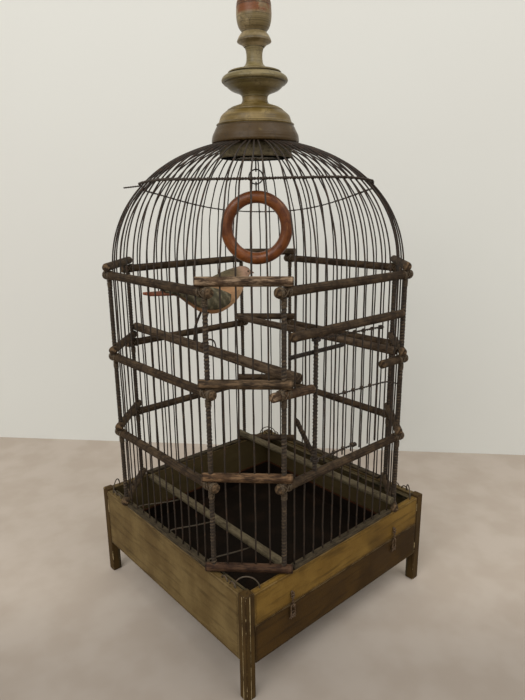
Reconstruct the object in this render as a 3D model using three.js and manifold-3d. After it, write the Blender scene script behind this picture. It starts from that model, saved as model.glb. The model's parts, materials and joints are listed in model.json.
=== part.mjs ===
// A canary breeding cage: an eight-sided wire cage with a domed top and a turned finial,
// standing on a square wooden base on four legs. Millimetres, +Z up.
// The origin is the centre of the base on the floor. The front, with the door and the flap, faces -Y.

import * as THREE from "three";
import { mergeVertices } from "three/addons/utils/BufferGeometryUtils.js";
import Module from "manifold-3d";

const wasm = await Module();
wasm.setup();

// ---------------------------------------------------------------- driving dimensions

const GAP = 0.3; // air left between pieces that touch

// wooden base
const BASE_SIDE = 300;
const POST_WIDTH = 12;
const POST_TOP = 124;
const POST_ROUNDING = 1.6;
const RIM_TOP = 122;
const BOARD_THICKNESS = 8;
const BOARD_RECESS = 0.5; // the boards sit this far behind the posts' outer faces
const BOARD_BOTTOM = 45;
const LEDGE_WIDTH = 6;
const LEDGE_TOP = 119;
const LEDGE_HEIGHT = 5;
const SEAM_Z = 85; // joint between the front rail and the flap below it
const SEAM_GAP = 0.6;
const FLAP_BOTTOM = 41;
const FLAP_THICKNESS = 6.5;
const RUNNER_WIDTH = 12;
const RUNNER_HEIGHT = 6;

// dropping tray
const TRAY_SHEET = 1.2;
const TRAY_SIDE_CLEARANCE = 1.5;
const TRAY_TOP = 74.5;
const TRAY_LIP_TOP = 58;
const TRAY_SLOPE_RUN = 40; // the sides fall to the front lip over this length
const TRAY_FRONT_GAP = 18; // from the hinge pins back to the lip
const TRAY_BACK_GAP = 3;

// flap hinges: a wire staple in the rail holds a wire eye in the flap
const HINGE_WIRE_RADIUS = 0.7;
const HINGE_STANDOFF = 2.75; // from the rail's face to the pins' axis
const HINGE_SPREAD = 176; // between the two hinges
const HINGE_EYE_HALF_WIDTH = 3.6;
const HINGE_LEG_LENGTH = 16;
const HINGE_PIN_CLEARANCE = 0.3;

// wire cage
const WALL_INSET = 5.3; // from the posts' outer faces in to the wires of a long side
const CHAMFER_LEG = 51.3; // what each cut corner takes off a long side
const WIRE_RADIUS = 0.8;
const WIRE_SPACING = 14.4; // wanted between two wires of a long side; they are then spread evenly
const CHAMFER_WIRES = 4;
const CORNER_ROD_RADIUS = 2.3;
const RAIL_RADIUS = 4.7;
const RAIL_OVERHANG = 9;
const LOWER_RAIL_Z = 218.8;
const MIDDLE_RAIL_Z = 315.5;
const TOP_RAIL_Z = 412.8;
const LINTEL_Z = 369;
const SILL_WIDTH = 8;
const SILL_HEIGHT = 4;

// dome and crown
const DOME_RISE = 147.5;
const DOME_FULLNESS = 2.2; // 2 is an ellipse, more is fuller at the shoulder
const DOME_STEPS = 7;
const PUCK_RADIUS = 41;
const PUCK_DROP = 15.5; // how far the puck shows below the bell
const HOOK_HOLE_RADIUS = 3;
const HOOK_HOLE_DEPTH = 3;
const BELL_SEAT = 0.76; // from the axes of the dome wires up to the bell's edge
const BELL_RADIUS = 49.2;
const BELL_HEIGHT = 49;
const BELL_RECESS_RADIUS = 46.8;
const BELL_RECESS_DEPTH = 6;
const DISC_RADIUS = 36.6;
const DISC_HEIGHT = 50;
const URN_RADIUS = 19;
const URN_HEIGHT = 70;
const HOOP_HEIGHT = 90.9; // mean height of the binding hoop over the top rails
const HOOP_RISE = 16.5; // how much higher the hoop lies at the near corner
const HOOP_SAG = 7.2;
const HOOP_TAIL = 20;
const HOOP_STEPS = 36;
const HOOP_TAIL_DIRECTION = 139;
const HOOP_OPENING = 0.06;

// perches
const PERCH_RADIUS = 4.8;
const PERCH_SETTLE = 0.4; // a perch lies this much lower on the cut end of a corner rail
const LEFT_PERCH_CLEARANCE = 0.57; // between a perch and the last wire of the wall that it passes
const RIGHT_PERCH_CLEARANCE = 0.32;
const LOW_RIGHT_CLEARANCE = 0.97;
const LOW_LEFT_OFFSET = 5; // from the last wire's line out to the low left perch
const LEFT_PERCH_FRONT_LAP = 3.5; // how far a perch reaches onto the rails that carry it
const LEFT_PERCH_BACK_LAP = 9;
const RIGHT_PERCH_LAP = 2.5;
const LOW_RIGHT_LAP = 8;
const LOW_LEFT_RECESS = 7.5; // from the boards in to the ends of the low left perch
const LOW_LEFT_RISE = 0.5; // of the low left perch's axis over the rim
const PERCH_WIRE_PITCHES = [[4.95, 4.25], [-0.14, -0.7], [-5.36, -5.7]]; // along the sill and the perch

// door
const DOOR_WIRE_COUNT = 6;
const DOOR_POST_RADIUS = 2.2;
const DOOR_STILE_SETBACK = 1.1; // from the line of the wire that the stile stands in for
const DOOR_STILE_RADIUS = 1.2;
const DOOR_TOP_GAP = 2.5; // under the lintel
const DOOR_FOOT_GAP = 3.2; // over the lower rail
const DOOR_BAR_INSET = 5; // from the door's top and foot to its outer cross wires
const LATCH_HEIGHT = 69; // over the door's foot
const LATCH_REACH = 38.8; // past the stile
const LATCH_DROP = 11;
const DOOR_LOOP_CLEARANCE = 0.35;
const LEFT_STUB_OVERHANG = 15.4; // past the corner rod
const LEFT_STUB_GAP = 3.7; // from the hinge post's axis
const RIGHT_STUB_OVERHANG = 8.3;
const RIGHT_STUB_GAP = 6.8; // from the stile's axis
const LINTEL_LEFT_OVERHANG = 4.5; // past the last wire
const LINTEL_RIGHT_OVERHANG = 11.6;
const INNER_ROD_RADIUS = 2.2;
const INNER_ROD_DROP = 21; // below the lintel's axis
const INNER_ROD_LEFT = 32.7; // from the hinge post to either end
const INNER_ROD_RIGHT = 49.3;
const POST_TAIL_RADIUS = 1.8; // the tail of wire that leans from the hinge post to the left
const POST_TAIL_FOOT = 17; // its foot over the bottom of the doorway
const POST_TAIL_RISE = 46;
const POST_TAIL_REACH = 25;

// swing
const SWING_WIRE_RADIUS = 0.8;
const SWING_EYE_RADIUS = 2.3;
const HOOK_DROP = 11.5; // from the puck down to the middle of the hook's eye
const LINK_RADIUS = 8;
const RING_RADIUS = 35.3;
const RING_TUBE = 7.1;
const RING_SHANK = 4.5; // bare length of the screw eye over the ring
const SWING_PLAY = 0.4;

// corner arches
const ARCH_RADIUS = 12.6;
const SMALL_ARCH_RADIUS = 4.6;
const SMALL_ARCH_SPACING = 13;
const ARCH_WIRE_RADIUS = 0.7;
const ARCH_FOOT = 3; // depth of a foot in the wood

// toy bird
const BIRD_LENGTH = 155;
const BIRD_Y = 13.8;
const BIRD_STANCE = 9.5;
const BIRD_SIDES = 10;

// faces
const WIRE_SIDES = 4;
const ROD_SIDES = 6;
const RAIL_SIDES = 10;
const TURNED_SIDES = 22;

// ---------------------------------------------------------------- sizes worked out from them

const HALF_SIDE = BASE_SIDE / 2;
const POST_INNER = HALF_SIDE - POST_WIDTH;
const BOARD_OUTER = HALF_SIDE - BOARD_RECESS;
const BOARD_INNER = BOARD_OUTER - BOARD_THICKNESS;
const WALL_OFFSET = HALF_SIDE - WALL_INSET; // from the axis to the wires of a long side
const CORNER_ALONG = WALL_OFFSET - CHAMFER_LEG; // where a long side ends
const CORNER_RADIUS = Math.hypot(WALL_OFFSET, CORNER_ALONG);
const CHAMFER_OFFSET = (WALL_OFFSET + CORNER_ALONG) / Math.SQRT2;
const CHAMFER_HALF = CHAMFER_LEG / Math.SQRT2;
const LONG_WIRES = 2 * Math.round(CORNER_ALONG / WIRE_SPACING - 0.5); // an even number on each long side
const WIRE_PITCH = (2 * CORNER_ALONG) / (LONG_WIRES + 1);
const CHAMFER_PITCH = (2 * CHAMFER_HALF) / (CHAMFER_WIRES + 1);
const LAST_WIRE = ((LONG_WIRES - 1) / 2) * WIRE_PITCH;
// the door's post and stile stand in for the two wires beside its own
const DOOR_HALF = ((DOOR_WIRE_COUNT + 1) / 2) * WIRE_PITCH;
const DOOR_LEFT_X = -DOOR_HALF;
const DOOR_STILE_X = DOOR_HALF - DOOR_STILE_SETBACK;
const STACK = 2 * RAIL_RADIUS + GAP; // a chamfer rail lies on the ends of the long rails
const SILL_RAIL_Z = RIM_TOP + RAIL_RADIUS + GAP;
const CHAMFER_RAILS = [SILL_RAIL_Z, LOWER_RAIL_Z + STACK, MIDDLE_RAIL_Z + STACK];
const CHAMFER_TOP_Z = TOP_RAIL_Z + STACK;
const HINGE_Y = -(BOARD_OUTER + HINGE_STANDOFF);
const HINGE_RING_RADIUS = 2 * HINGE_WIRE_RADIUS + HINGE_PIN_CLEARANCE;
const TRAY_HALF_WIDTH = POST_INNER - TRAY_SIDE_CLEARANCE;
const RUNNER_TOP = BOARD_BOTTOM + RUNNER_HEIGHT;
const TRAY_BOTTOM = RUNNER_TOP + GAP;
const OVERHANG_END = CORNER_ALONG - RAIL_OVERHANG / Math.SQRT2; // reach of a corner rail's end along a side

// ---------------------------------------------------------------- finishes

const finish = (color, roughness, metalness = 0) =>
  new THREE.MeshStandardMaterial({ color, roughness, metalness });
const BOARD_PAINT = finish(0x7d6c44, 0.75);
const TURNED_PAINT = finish(0x6f6747, 0.6);
const DOWEL_WOOD = finish(0x574b3e, 0.8);
const PALE_DOWEL = finish(0x8a8678, 0.8);
const OLD_IRON = finish(0x3a332e, 0.7, 0.6);
const TRAY_IRON = finish(0x2e2925, 0.8, 0.5);
const RING_WOOD = finish(0x8c4a24, 0.45);
const BIRD_PAINT = finish(0x8d8672, 0.7);

// ---------------------------------------------------------------- solids

const vector = (x, y, z) => new THREE.Vector3(x, y, z);
const UP = vector(0, 0, 1);
const OUTWARD = vector(0, -1, 0);

/** A closed geometry with merged vertices and without collapsed triangles. */
function sealed(geometry) {
  const bare = new THREE.BufferGeometry();
  bare.setAttribute("position", geometry.getAttribute("position").clone());
  bare.setIndex(geometry.index ? geometry.index.clone() : null);
  const merged = mergeVertices(bare, 1e-4);
  const kept = [];
  for (let i = 0; i < merged.index.count; i += 3) {
    const [a, b, c] = [0, 1, 2].map((k) => merged.index.getX(i + k));
    if (a !== b && b !== c && c !== a) kept.push(a, b, c);
  }
  merged.setIndex(kept);
  return merged;
}

function toSolid(geometry) {
  const closed = sealed(geometry);
  return new wasm.Manifold(
    new wasm.Mesh({
      numProp: 3,
      vertProperties: new Float32Array(closed.getAttribute("position").array),
      triVerts: new Uint32Array(closed.index.array),
    }),
  );
}

function toGeometry(solid) {
  const { numProp, vertProperties, triVerts } = solid.getMesh();
  const positions = [];
  for (let i = 0; i < vertProperties.length; i += numProp) {
    positions.push(...vertProperties.slice(i, i + 3));
  }
  const geometry = new THREE.BufferGeometry();
  geometry.setAttribute("position", new THREE.Float32BufferAttribute(positions, 3));
  geometry.setIndex([...triVerts]);
  geometry.computeVertexNormals();
  return geometry;
}

const join = (pieces) => toGeometry(pieces.map(toSolid).reduce((whole, piece) => whole.add(piece)));

const cut = (body, tools) =>
  toGeometry(tools.map(toSolid).reduce((rest, tool) => rest.subtract(tool), toSolid(body)));

/** Skins a stack of rings, each with as many points, and closes both ends with a fan. */
function loft(rings) {
  const sides = rings[0].length;
  const positions = rings.flat().flatMap((p) => [p.x, p.y, p.z]);
  const index = [];
  for (let ring = 0; ring + 1 < rings.length; ring += 1) {
    for (let k = 0; k < sides; k += 1) {
      const a = ring * sides + k;
      const b = ring * sides + ((k + 1) % sides);
      index.push(a, b, b + sides, a, b + sides, a + sides);
    }
  }
  const last = (rings.length - 1) * sides;
  for (let k = 1; k + 1 < sides; k += 1) {
    index.push(0, k + 1, k);
    index.push(last, last + k, last + k + 1);
  }
  const geometry = new THREE.BufferGeometry();
  geometry.setAttribute("position", new THREE.Float32BufferAttribute(positions, 3));
  geometry.setIndex(index);
  return geometry;
}

/** How far out a polygon's corners lie when it holds the same area as a circle of radius 1. */
const cornerReach = (sides) => Math.sqrt((2 * Math.PI) / (sides * Math.sin((2 * Math.PI) / sides)));

/**
 * A round bar along a path, mitred where it turns. A flat of the first ring faces `up`, and the rings
 * after it don't twist; `radius` may be a list with one for each point.
 */
function bar(path, radius, sides = WIRE_SIDES, up = OUTWARD) {
  let lean = up;
  const rings = path.map((point, i) => {
    const ahead = Math.min(i, path.length - 2);
    const behind = Math.max(i, 1);
    const next = path[ahead + 1].clone().sub(path[ahead]).normalize();
    const last = path[behind].clone().sub(path[behind - 1]).normalize();
    const along = last.clone().add(next).normalize();
    const bend = last.clone().sub(next).normalize();
    const mitre = 1 / along.dot(next) - 1;
    lean = lean.clone().addScaledVector(along, -lean.dot(along)).normalize();
    const across = along.clone().cross(lean);
    const size = (Array.isArray(radius) ? radius[i] : radius) * cornerReach(sides);
    return Array.from({ length: sides }, (_, k) => {
      const turn = (2 * Math.PI * (k + 0.5)) / sides;
      const spoke = lean.clone().multiplyScalar(size * Math.cos(turn));
      spoke.addScaledVector(across, size * Math.sin(turn));
      return spoke.addScaledVector(bend, spoke.dot(bend) * mitre).add(point);
    });
  });
  return loft(rings);
}

const upright = (x, y, low, high, radius, sides) =>
  bar([vector(x, y, low), vector(x, y, high)], radius, sides);

/** Radius to ask of a bar so that its flats lie `radius` from its axis. */
const toFlats = (radius, sides) => radius / Math.cos(Math.PI / sides) / cornerReach(sides);

/** A dowel between two points whose flats face up and down and measure its radius exactly. */
const dowel = (from, to, radius = RAIL_RADIUS) =>
  bar([from, to], toFlats(radius, RAIL_SIDES), RAIL_SIDES, UP);

/** A dowel whose two ends are rounded over. */
function roundedDowel(from, to, radius) {
  const along = to.clone().sub(from).normalize();
  const path = [0, 0.12, 0.45].map((share) => from.clone().addScaledVector(along, share * radius));
  path.push(...[0.45, 0.12, 0].map((share) => to.clone().addScaledVector(along, -share * radius)));
  const full = toFlats(radius, RAIL_SIDES);
  return bar(path, [0.55, 0.82, 1, 1, 0.82, 0.55].map((share) => share * full), RAIL_SIDES, UP);
}

/** A shape in the (depth, height) plane drawn out along X, from -half to half. */
function moulding(outline, half) {
  const shape = new THREE.Shape(outline.map(([depth, height]) => new THREE.Vector2(depth, height)));
  const geometry = new THREE.ExtrudeGeometry(shape, { depth: 2 * half, bevelEnabled: false });
  geometry.translate(0, 0, -half);
  // depth lies along +Y, height along +Z, and the length along +X
  geometry.applyMatrix4(new THREE.Matrix4().makeBasis(vector(0, 1, 0), vector(0, 0, 1), vector(1, 0, 0)));
  return geometry;
}

/** A turned piece from its outline of [radius, height] points, which starts and ends on the axis. */
function turned(outline, sides = TURNED_SIDES) {
  const points = outline.map(([radius, height]) => new THREE.Vector2(radius, height));
  const geometry = new THREE.LatheGeometry(points, sides);
  geometry.rotateX(Math.PI / 2);
  return sealed(geometry);
}

/** A turned piece whose points are shares of its full radius and of its height over `bottom`. */
const turnedTo = (radius, bottom, height, shares) =>
  shares.map(([across, up]) => [across * radius, bottom + up * height]);

/** A wire ring round `axis`, centred on `centre`. */
function wireRing(centre, radius, wireRadius, axis, around = 12) {
  const geometry = new THREE.TorusGeometry(radius, wireRadius, WIRE_SIDES, around);
  geometry.applyQuaternion(new THREE.Quaternion().setFromUnitVectors(UP, axis.clone().normalize()));
  geometry.translate(centre.x, centre.y, centre.z);
  return geometry;
}

// ---------------------------------------------------------------- scene graph

const cage = new THREE.Group();
cage.name = "canary_breeding_cage";

function place(name, geometry, material, parent = cage) {
  const mesh = new THREE.Mesh(geometry, material);
  mesh.name = name;
  parent.add(mesh);
  return mesh;
}

/** A group turned about the cage's axis by a number of degrees. */
function turnedGroup(degrees) {
  const group = new THREE.Group();
  group.rotation.z = THREE.MathUtils.degToRad(degrees);
  cage.add(group);
  return group;
}

const SIDES = {
  front: turnedGroup(0),
  right: turnedGroup(90),
  back: turnedGroup(180),
  left: turnedGroup(270),
};
const CORNERS = {
  front_right: turnedGroup(45),
  back_right: turnedGroup(135),
  back_left: turnedGroup(225),
  front_left: turnedGroup(315),
};

// ---------------------------------------------------------------- wooden base

/** A square post with its outer corner eased, from the floor to just above the rim. */
function cornerPost() {
  const section = (inset) => {
    const inner = POST_INNER + inset;
    const outer = HALF_SIDE - inset;
    const eased = outer - POST_ROUNDING;
    return [
      [inner, -outer],
      [eased, -outer],
      [outer, -eased],
      [outer, -inner],
      [inner, -inner],
    ];
  };
  const ring = (inset, z) => section(inset).map(([x, y]) => vector(x, y, z));
  return loft([ring(0.8, 0), ring(0, 2), ring(0, POST_TOP - POST_ROUNDING), ring(POST_ROUNDING, POST_TOP)]);
}

["front_right", "back_right", "back_left", "front_left"].forEach((corner, quarter) =>
  place(`${corner}_leg_post`, cornerPost(), BOARD_PAINT, turnedGroup(90 * quarter)),
);

const plainBoard = (thickness, bottom, top) => [
  [-BOARD_OUTER, bottom],
  [-BOARD_OUTER + thickness, bottom],
  [-BOARD_OUTER + thickness, top],
  [-BOARD_OUTER, top],
];

const ledgedBoard = [
  [-BOARD_OUTER, BOARD_BOTTOM],
  [-BOARD_INNER, BOARD_BOTTOM],
  [-BOARD_INNER, LEDGE_TOP - LEDGE_HEIGHT],
  [-BOARD_INNER + LEDGE_WIDTH, LEDGE_TOP - LEDGE_HEIGHT],
  [-BOARD_INNER + LEDGE_WIDTH, LEDGE_TOP],
  [-BOARD_INNER, LEDGE_TOP],
  [-BOARD_INNER, RIM_TOP],
  [-BOARD_OUTER, RIM_TOP],
];

/** A half hoop of wire standing on the rim between two feet. The far foot may rest on the wood instead. */
function arch(from, to, rests = false) {
  const centre = from.clone().add(to).multiplyScalar(0.5);
  const spoke = from.clone().sub(centre);
  const steps = 5;
  const path = Array.from({ length: steps + 1 }, (_, i) => {
    const turn = (Math.PI * i) / steps;
    return centre
      .clone()
      .addScaledVector(spoke, Math.cos(turn))
      .addScaledVector(UP, spoke.length() * Math.sin(turn));
  });
  path.unshift(from.clone().addScaledVector(UP, -ARCH_FOOT));
  if (rests) path[path.length - 1].z += ARCH_WIRE_RADIUS + GAP;
  else path.push(to.clone().addScaledVector(UP, -ARCH_FOOT));
  const facing = spoke.clone().cross(UP);
  return bar(path, ARCH_WIRE_RADIUS, WIRE_SIDES, facing);
}

/** The little wire arches that fill both corner triangles at the ends of a side board. */
function cornerArches() {
  const foot = HALF_SIDE - BOARD_RECESS - BOARD_THICKNESS / 2;
  const run = ARCH_RADIUS * Math.SQRT2;
  const along = foot - run;
  return [-1, 1].flatMap((end) => [
    arch(vector(end * along, -foot, RIM_TOP), vector(end * foot, -along, RIM_TOP), true),
    ...[1, 2].map((k) => POST_INNER - k * SMALL_ARCH_SPACING).map((x) =>
      arch(
        vector(end * (x - SMALL_ARCH_RADIUS), -foot, RIM_TOP),
        vector(end * (x + SMALL_ARCH_RADIUS), -foot, RIM_TOP),
      ),
    ),
  ]);
}

["left", "right"].forEach((side) =>
  place(
    `${side}_board`,
    join([moulding(ledgedBoard, POST_INNER), ...cornerArches()]),
    BOARD_PAINT,
    SIDES[side],
  ),
);
place(
  "back_board",
  moulding(plainBoard(BOARD_THICKNESS, BOARD_BOTTOM, RIM_TOP), POST_INNER),
  BOARD_PAINT,
  SIDES.back,
);
place(
  "front_rail",
  moulding(plainBoard(BOARD_THICKNESS, SEAM_Z + SEAM_GAP / 2, RIM_TOP), POST_INNER),
  BOARD_PAINT,
  SIDES.front,
);

const runnerOutline = [
  [-BOARD_INNER, BOARD_BOTTOM],
  [-BOARD_INNER + RUNNER_WIDTH, BOARD_BOTTOM],
  [-BOARD_INNER + RUNNER_WIDTH, RUNNER_TOP],
  [-BOARD_INNER, RUNNER_TOP],
];
["left", "right"].forEach((side) =>
  place(`${side}_tray_runner`, moulding(runnerOutline, POST_INNER - GAP), PALE_DOWEL, SIDES[side]),
);

// ---------------------------------------------------------------- flap and tray

/** A staple in the front rail: a ring round the flap's pin, and a shank up the rail's face. */
function hingeStaple(x) {
  const eye = vector(x, HINGE_Y, SEAM_Z);
  const ring = wireRing(eye, HINGE_RING_RADIUS, HINGE_WIRE_RADIUS, vector(1, 0, 0), 10);
  const shank = bar(
    [
      vector(x, HINGE_Y, SEAM_Z + HINGE_RING_RADIUS - 0.2),
      vector(x, HINGE_Y + 0.4, SEAM_Z + HINGE_LEG_LENGTH / 2),
      vector(x, HINGE_Y + HINGE_STANDOFF - HINGE_WIRE_RADIUS - GAP, SEAM_Z + HINGE_LEG_LENGTH),
    ],
    HINGE_WIRE_RADIUS,
  );
  return join([ring, shank]);
}

const HINGE_PLACES = [-HINGE_SPREAD / 2, HINGE_SPREAD / 2];
place("hinge_staple_left", hingeStaple(HINGE_PLACES[0]), OLD_IRON);
place("hinge_staple_right", hingeStaple(HINGE_PLACES[1]), OLD_IRON);

/** A wire eye in the flap: a pin through the staple, two legs down the face and two ends into the wood. */
function hingeEye(x) {
  const low = SEAM_Z - HINGE_LEG_LENGTH;
  const inside = -BOARD_OUTER + FLAP_THICKNESS / 2;
  const path = [
    vector(x - HINGE_EYE_HALF_WIDTH, inside, low),
    vector(x - HINGE_EYE_HALF_WIDTH, HINGE_Y, low),
    vector(x - HINGE_EYE_HALF_WIDTH, HINGE_Y, SEAM_Z),
    vector(x + HINGE_EYE_HALF_WIDTH, HINGE_Y, SEAM_Z),
    vector(x + HINGE_EYE_HALF_WIDTH, HINGE_Y, low),
    vector(x + HINGE_EYE_HALF_WIDTH, inside, low),
  ];
  return bar(path, HINGE_WIRE_RADIUS, ROD_SIDES, vector(1, 0, 0));
}

place(
  "tray_flap",
  join([
    moulding(plainBoard(FLAP_THICKNESS, FLAP_BOTTOM, SEAM_Z - SEAM_GAP / 2), POST_INNER - GAP),
    ...HINGE_PLACES.map(hingeEye),
  ]),
  BOARD_PAINT,
);

/** A box from its lowest to its highest corner. */
function block(low, high) {
  const geometry = new THREE.BoxGeometry(high.x - low.x, high.y - low.y, high.z - low.z);
  geometry.translate((low.x + high.x) / 2, (low.y + high.y) / 2, (low.z + high.z) / 2);
  return geometry;
}

/** The sheet-iron tray, its side walls cut down to a low lip in front. */
function tray() {
  const front = HINGE_Y + TRAY_FRONT_GAP;
  const back = BOARD_INNER - TRAY_BACK_GAP;
  const outer = block(
    vector(-TRAY_HALF_WIDTH, front, TRAY_BOTTOM),
    vector(TRAY_HALF_WIDTH, back, TRAY_TOP),
  );
  const inner = block(
    vector(-TRAY_HALF_WIDTH + TRAY_SHEET, front + TRAY_SHEET, TRAY_BOTTOM + TRAY_SHEET),
    vector(TRAY_HALF_WIDTH - TRAY_SHEET, back - TRAY_SHEET, TRAY_TOP + 1),
  );
  const fall = new THREE.Shape([
    new THREE.Vector2(front - 1, TRAY_LIP_TOP),
    new THREE.Vector2(front + TRAY_SHEET, TRAY_LIP_TOP),
    new THREE.Vector2(front + TRAY_SLOPE_RUN, TRAY_TOP + 1),
    new THREE.Vector2(front - 1, TRAY_TOP + 1),
  ]);
  const wedge = new THREE.ExtrudeGeometry(fall, { depth: 2 * TRAY_HALF_WIDTH + 2, bevelEnabled: false });
  wedge.translate(0, 0, -TRAY_HALF_WIDTH - 1);
  wedge.applyMatrix4(new THREE.Matrix4().makeBasis(vector(0, 1, 0), vector(0, 0, 1), vector(1, 0, 0)));
  return cut(outer, [inner, wedge]);
}

place("dropping_tray", tray(), TRAY_IRON);

// ---------------------------------------------------------------- walls of the cage

const spread = (count, pitch) =>
  Array.from({ length: count }, (_, i) => (i - (count - 1) / 2) * pitch);
const LONG_PLACES = spread(LONG_WIRES, WIRE_PITCH);
const CHAMFER_PLACES = spread(CHAMFER_WIRES, CHAMFER_PITCH);
const SILL_FOOT = RIM_TOP + SILL_HEIGHT / 2;
const inDoorway = (x) => x > DOOR_LEFT_X - 1 && x < DOOR_STILE_X + 2;

const sillOutline = [
  [-BOARD_OUTER, RIM_TOP],
  [-BOARD_OUTER + SILL_WIDTH, RIM_TOP],
  [-BOARD_OUTER + SILL_WIDTH, RIM_TOP + SILL_HEIGHT - 1.5],
  [-BOARD_OUTER + SILL_WIDTH - 2, RIM_TOP + SILL_HEIGHT],
  [-BOARD_OUTER + 2, RIM_TOP + SILL_HEIGHT],
  [-BOARD_OUTER, RIM_TOP + SILL_HEIGHT - 1.5],
];
const SILL_HALF = OVERHANG_END - RAIL_RADIUS / Math.SQRT2 - GAP;

/** A sill strip and the wires that stand in it. */
function sideBars(places, top) {
  const wires = places.map((x) => upright(x, -WALL_OFFSET, SILL_FOOT, top, WIRE_RADIUS));
  return [moulding(sillOutline, SILL_HALF), ...wires];
}

const underTopRail = TOP_RAIL_Z - RAIL_RADIUS - GAP;
const underLowerRail = LOWER_RAIL_Z - RAIL_RADIUS - GAP;

place("back_bars", join(sideBars(LONG_PLACES, underTopRail)), OLD_IRON, SIDES.back);
place("right_bars", join(sideBars(LONG_PLACES, underTopRail)), OLD_IRON, SIDES.right);
place("left_bars", join(sideBars(LONG_PLACES, underTopRail)), OLD_IRON, SIDES.left);
// in front, the wires beside the doorway belong to the short rails that they stand in
place("front_bars", join(sideBars(LONG_PLACES.filter(inDoorway), underLowerRail)), OLD_IRON, SIDES.front);

/** What a drill takes out of a long rail: the section of the upright in it, with a gap all round. */
function drilled(x, z, radius, sides) {
  const wide = radius + GAP / Math.cos(Math.PI / sides) / cornerReach(sides);
  return upright(x, -WALL_OFFSET, z - 2 * RAIL_RADIUS, z + 2 * RAIL_RADIUS, wide, sides);
}

/** A dowel of a long side with a drilled hole for each wire and corner rod that runs through it. */
function longRail(from, to, z, holes) {
  const rail = dowel(vector(from, -WALL_OFFSET, z), vector(to, -WALL_OFFSET, z));
  return cut(rail, holes.map(([x, radius, sides]) => drilled(x, z, radius, sides)));
}

const RAIL_END = CORNER_ALONG + RAIL_OVERHANG;
const cornerHoles = [-CORNER_ALONG, CORNER_ALONG].map((x) => [x, CORNER_ROD_RADIUS, ROD_SIDES]);
const wireHoles = LONG_PLACES.map((x) => [x, WIRE_RADIUS, WIRE_SIDES]);
const sideWireHoles = wireHoles.filter(([x]) => !inDoorway(x));

["right", "back", "left"].forEach((side) =>
  Object.entries({ lower: LOWER_RAIL_Z, middle: MIDDLE_RAIL_Z }).forEach(([level, z]) => {
    const rail = longRail(-RAIL_END, RAIL_END, z, [...cornerHoles, ...wireHoles]);
    place(`${side}_${level}_rail`, rail, DOWEL_WOOD, SIDES[side]);
  }),
);
const within = ([from, to], holes) => holes.filter(([x]) => x > from && x < to);
const LEFT_STUB = [-CORNER_ALONG - LEFT_STUB_OVERHANG, DOOR_LEFT_X - LEFT_STUB_GAP];
const RIGHT_STUB = [DOOR_STILE_X + RIGHT_STUB_GAP, CORNER_ALONG + RIGHT_STUB_OVERHANG];
place(
  "front_lower_rail",
  longRail(-RAIL_END, RAIL_END, LOWER_RAIL_Z, [...cornerHoles, ...sideWireHoles]),
  DOWEL_WOOD,
);

/** A short rail beside the doorway, with the wires that stand in it from the sill to the top rail. */
function doorwayRail(ends) {
  const places = LONG_PLACES.filter((x) => !inDoorway(x) && x > ends[0] && x < ends[1]);
  const wires = places.map((x) =>
    upright(x, -WALL_OFFSET, RIM_TOP + SILL_HEIGHT + GAP, underTopRail, WIRE_RADIUS),
  );
  return join([longRail(...ends, MIDDLE_RAIL_Z, within(ends, cornerHoles)), ...wires]);
}

place("front_middle_rail_left", doorwayRail(LEFT_STUB), DOWEL_WOOD);
place("front_middle_rail_right", doorwayRail(RIGHT_STUB), DOWEL_WOOD);

/** The flat part of a cut corner: three rails with the wires and both corner rods fast in them. */
function cornerGrille() {
  const half = CHAMFER_HALF + RAIL_OVERHANG;
  const rails = CHAMFER_RAILS.map((z) =>
    dowel(vector(-half, -CHAMFER_OFFSET, z), vector(half, -CHAMFER_OFFSET, z)),
  );
  const top = CHAMFER_TOP_Z - RAIL_RADIUS - GAP;
  const wires = CHAMFER_PLACES.map((x) => upright(x, -CHAMFER_OFFSET, SILL_RAIL_Z, top, WIRE_RADIUS));
  const rods = [-CHAMFER_HALF, CHAMFER_HALF].map((x) =>
    upright(x, -CHAMFER_OFFSET, SILL_RAIL_Z, top, CORNER_ROD_RADIUS, ROD_SIDES),
  );
  return join([...rails, ...wires, ...rods]);
}

Object.entries(CORNERS).forEach(([corner, group]) =>
  place(`${corner}_grille`, cornerGrille(), DOWEL_WOOD, group),
);

// ---------------------------------------------------------------- dome

/** Radius of a dome wire at `turn`, which is 0 at its foot and a quarter turn at the crown. */
const domeRadius = (footRadius, turn) =>
  Math.cos(turn) * (footRadius + (CORNER_RADIUS - footRadius) * Math.sin(turn) ** 2);
const domeHeight = (turn) => DOME_RISE * Math.sin(turn) ** (2 / DOME_FULLNESS);

/** The turn at which a wire comes to a given radius, by halving. */
function turnAtRadius(footRadius, radius) {
  let [low, high] = [0, Math.PI / 2];
  for (let i = 0; i < 40; i += 1) {
    const middle = (low + high) / 2;
    if (domeRadius(footRadius, middle) > radius) low = middle;
    else high = middle;
  }
  return low;
}

/** A wire bent over in the plane through the axis, from inside its top rail to the side of the puck. */
function domeWire(footX, footY, footZ, low = footZ) {
  const footRadius = Math.hypot(footX, footY);
  const inward = vector(-footX, -footY, 0).normalize();
  const last = turnAtRadius(footRadius, PUCK_RADIUS + GAP);
  const path = Array.from({ length: DOME_STEPS + 1 }, (_, i) => {
    const turn = (last * i) / DOME_STEPS;
    return vector(footX, footY, TOP_RAIL_Z + domeHeight(turn)).addScaledVector(
      inward,
      footRadius - domeRadius(footRadius, turn),
    );
  });
  path[0].z = low;
  return bar(path, WIRE_RADIUS, WIRE_SIDES, inward.clone().cross(UP));
}

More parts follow.
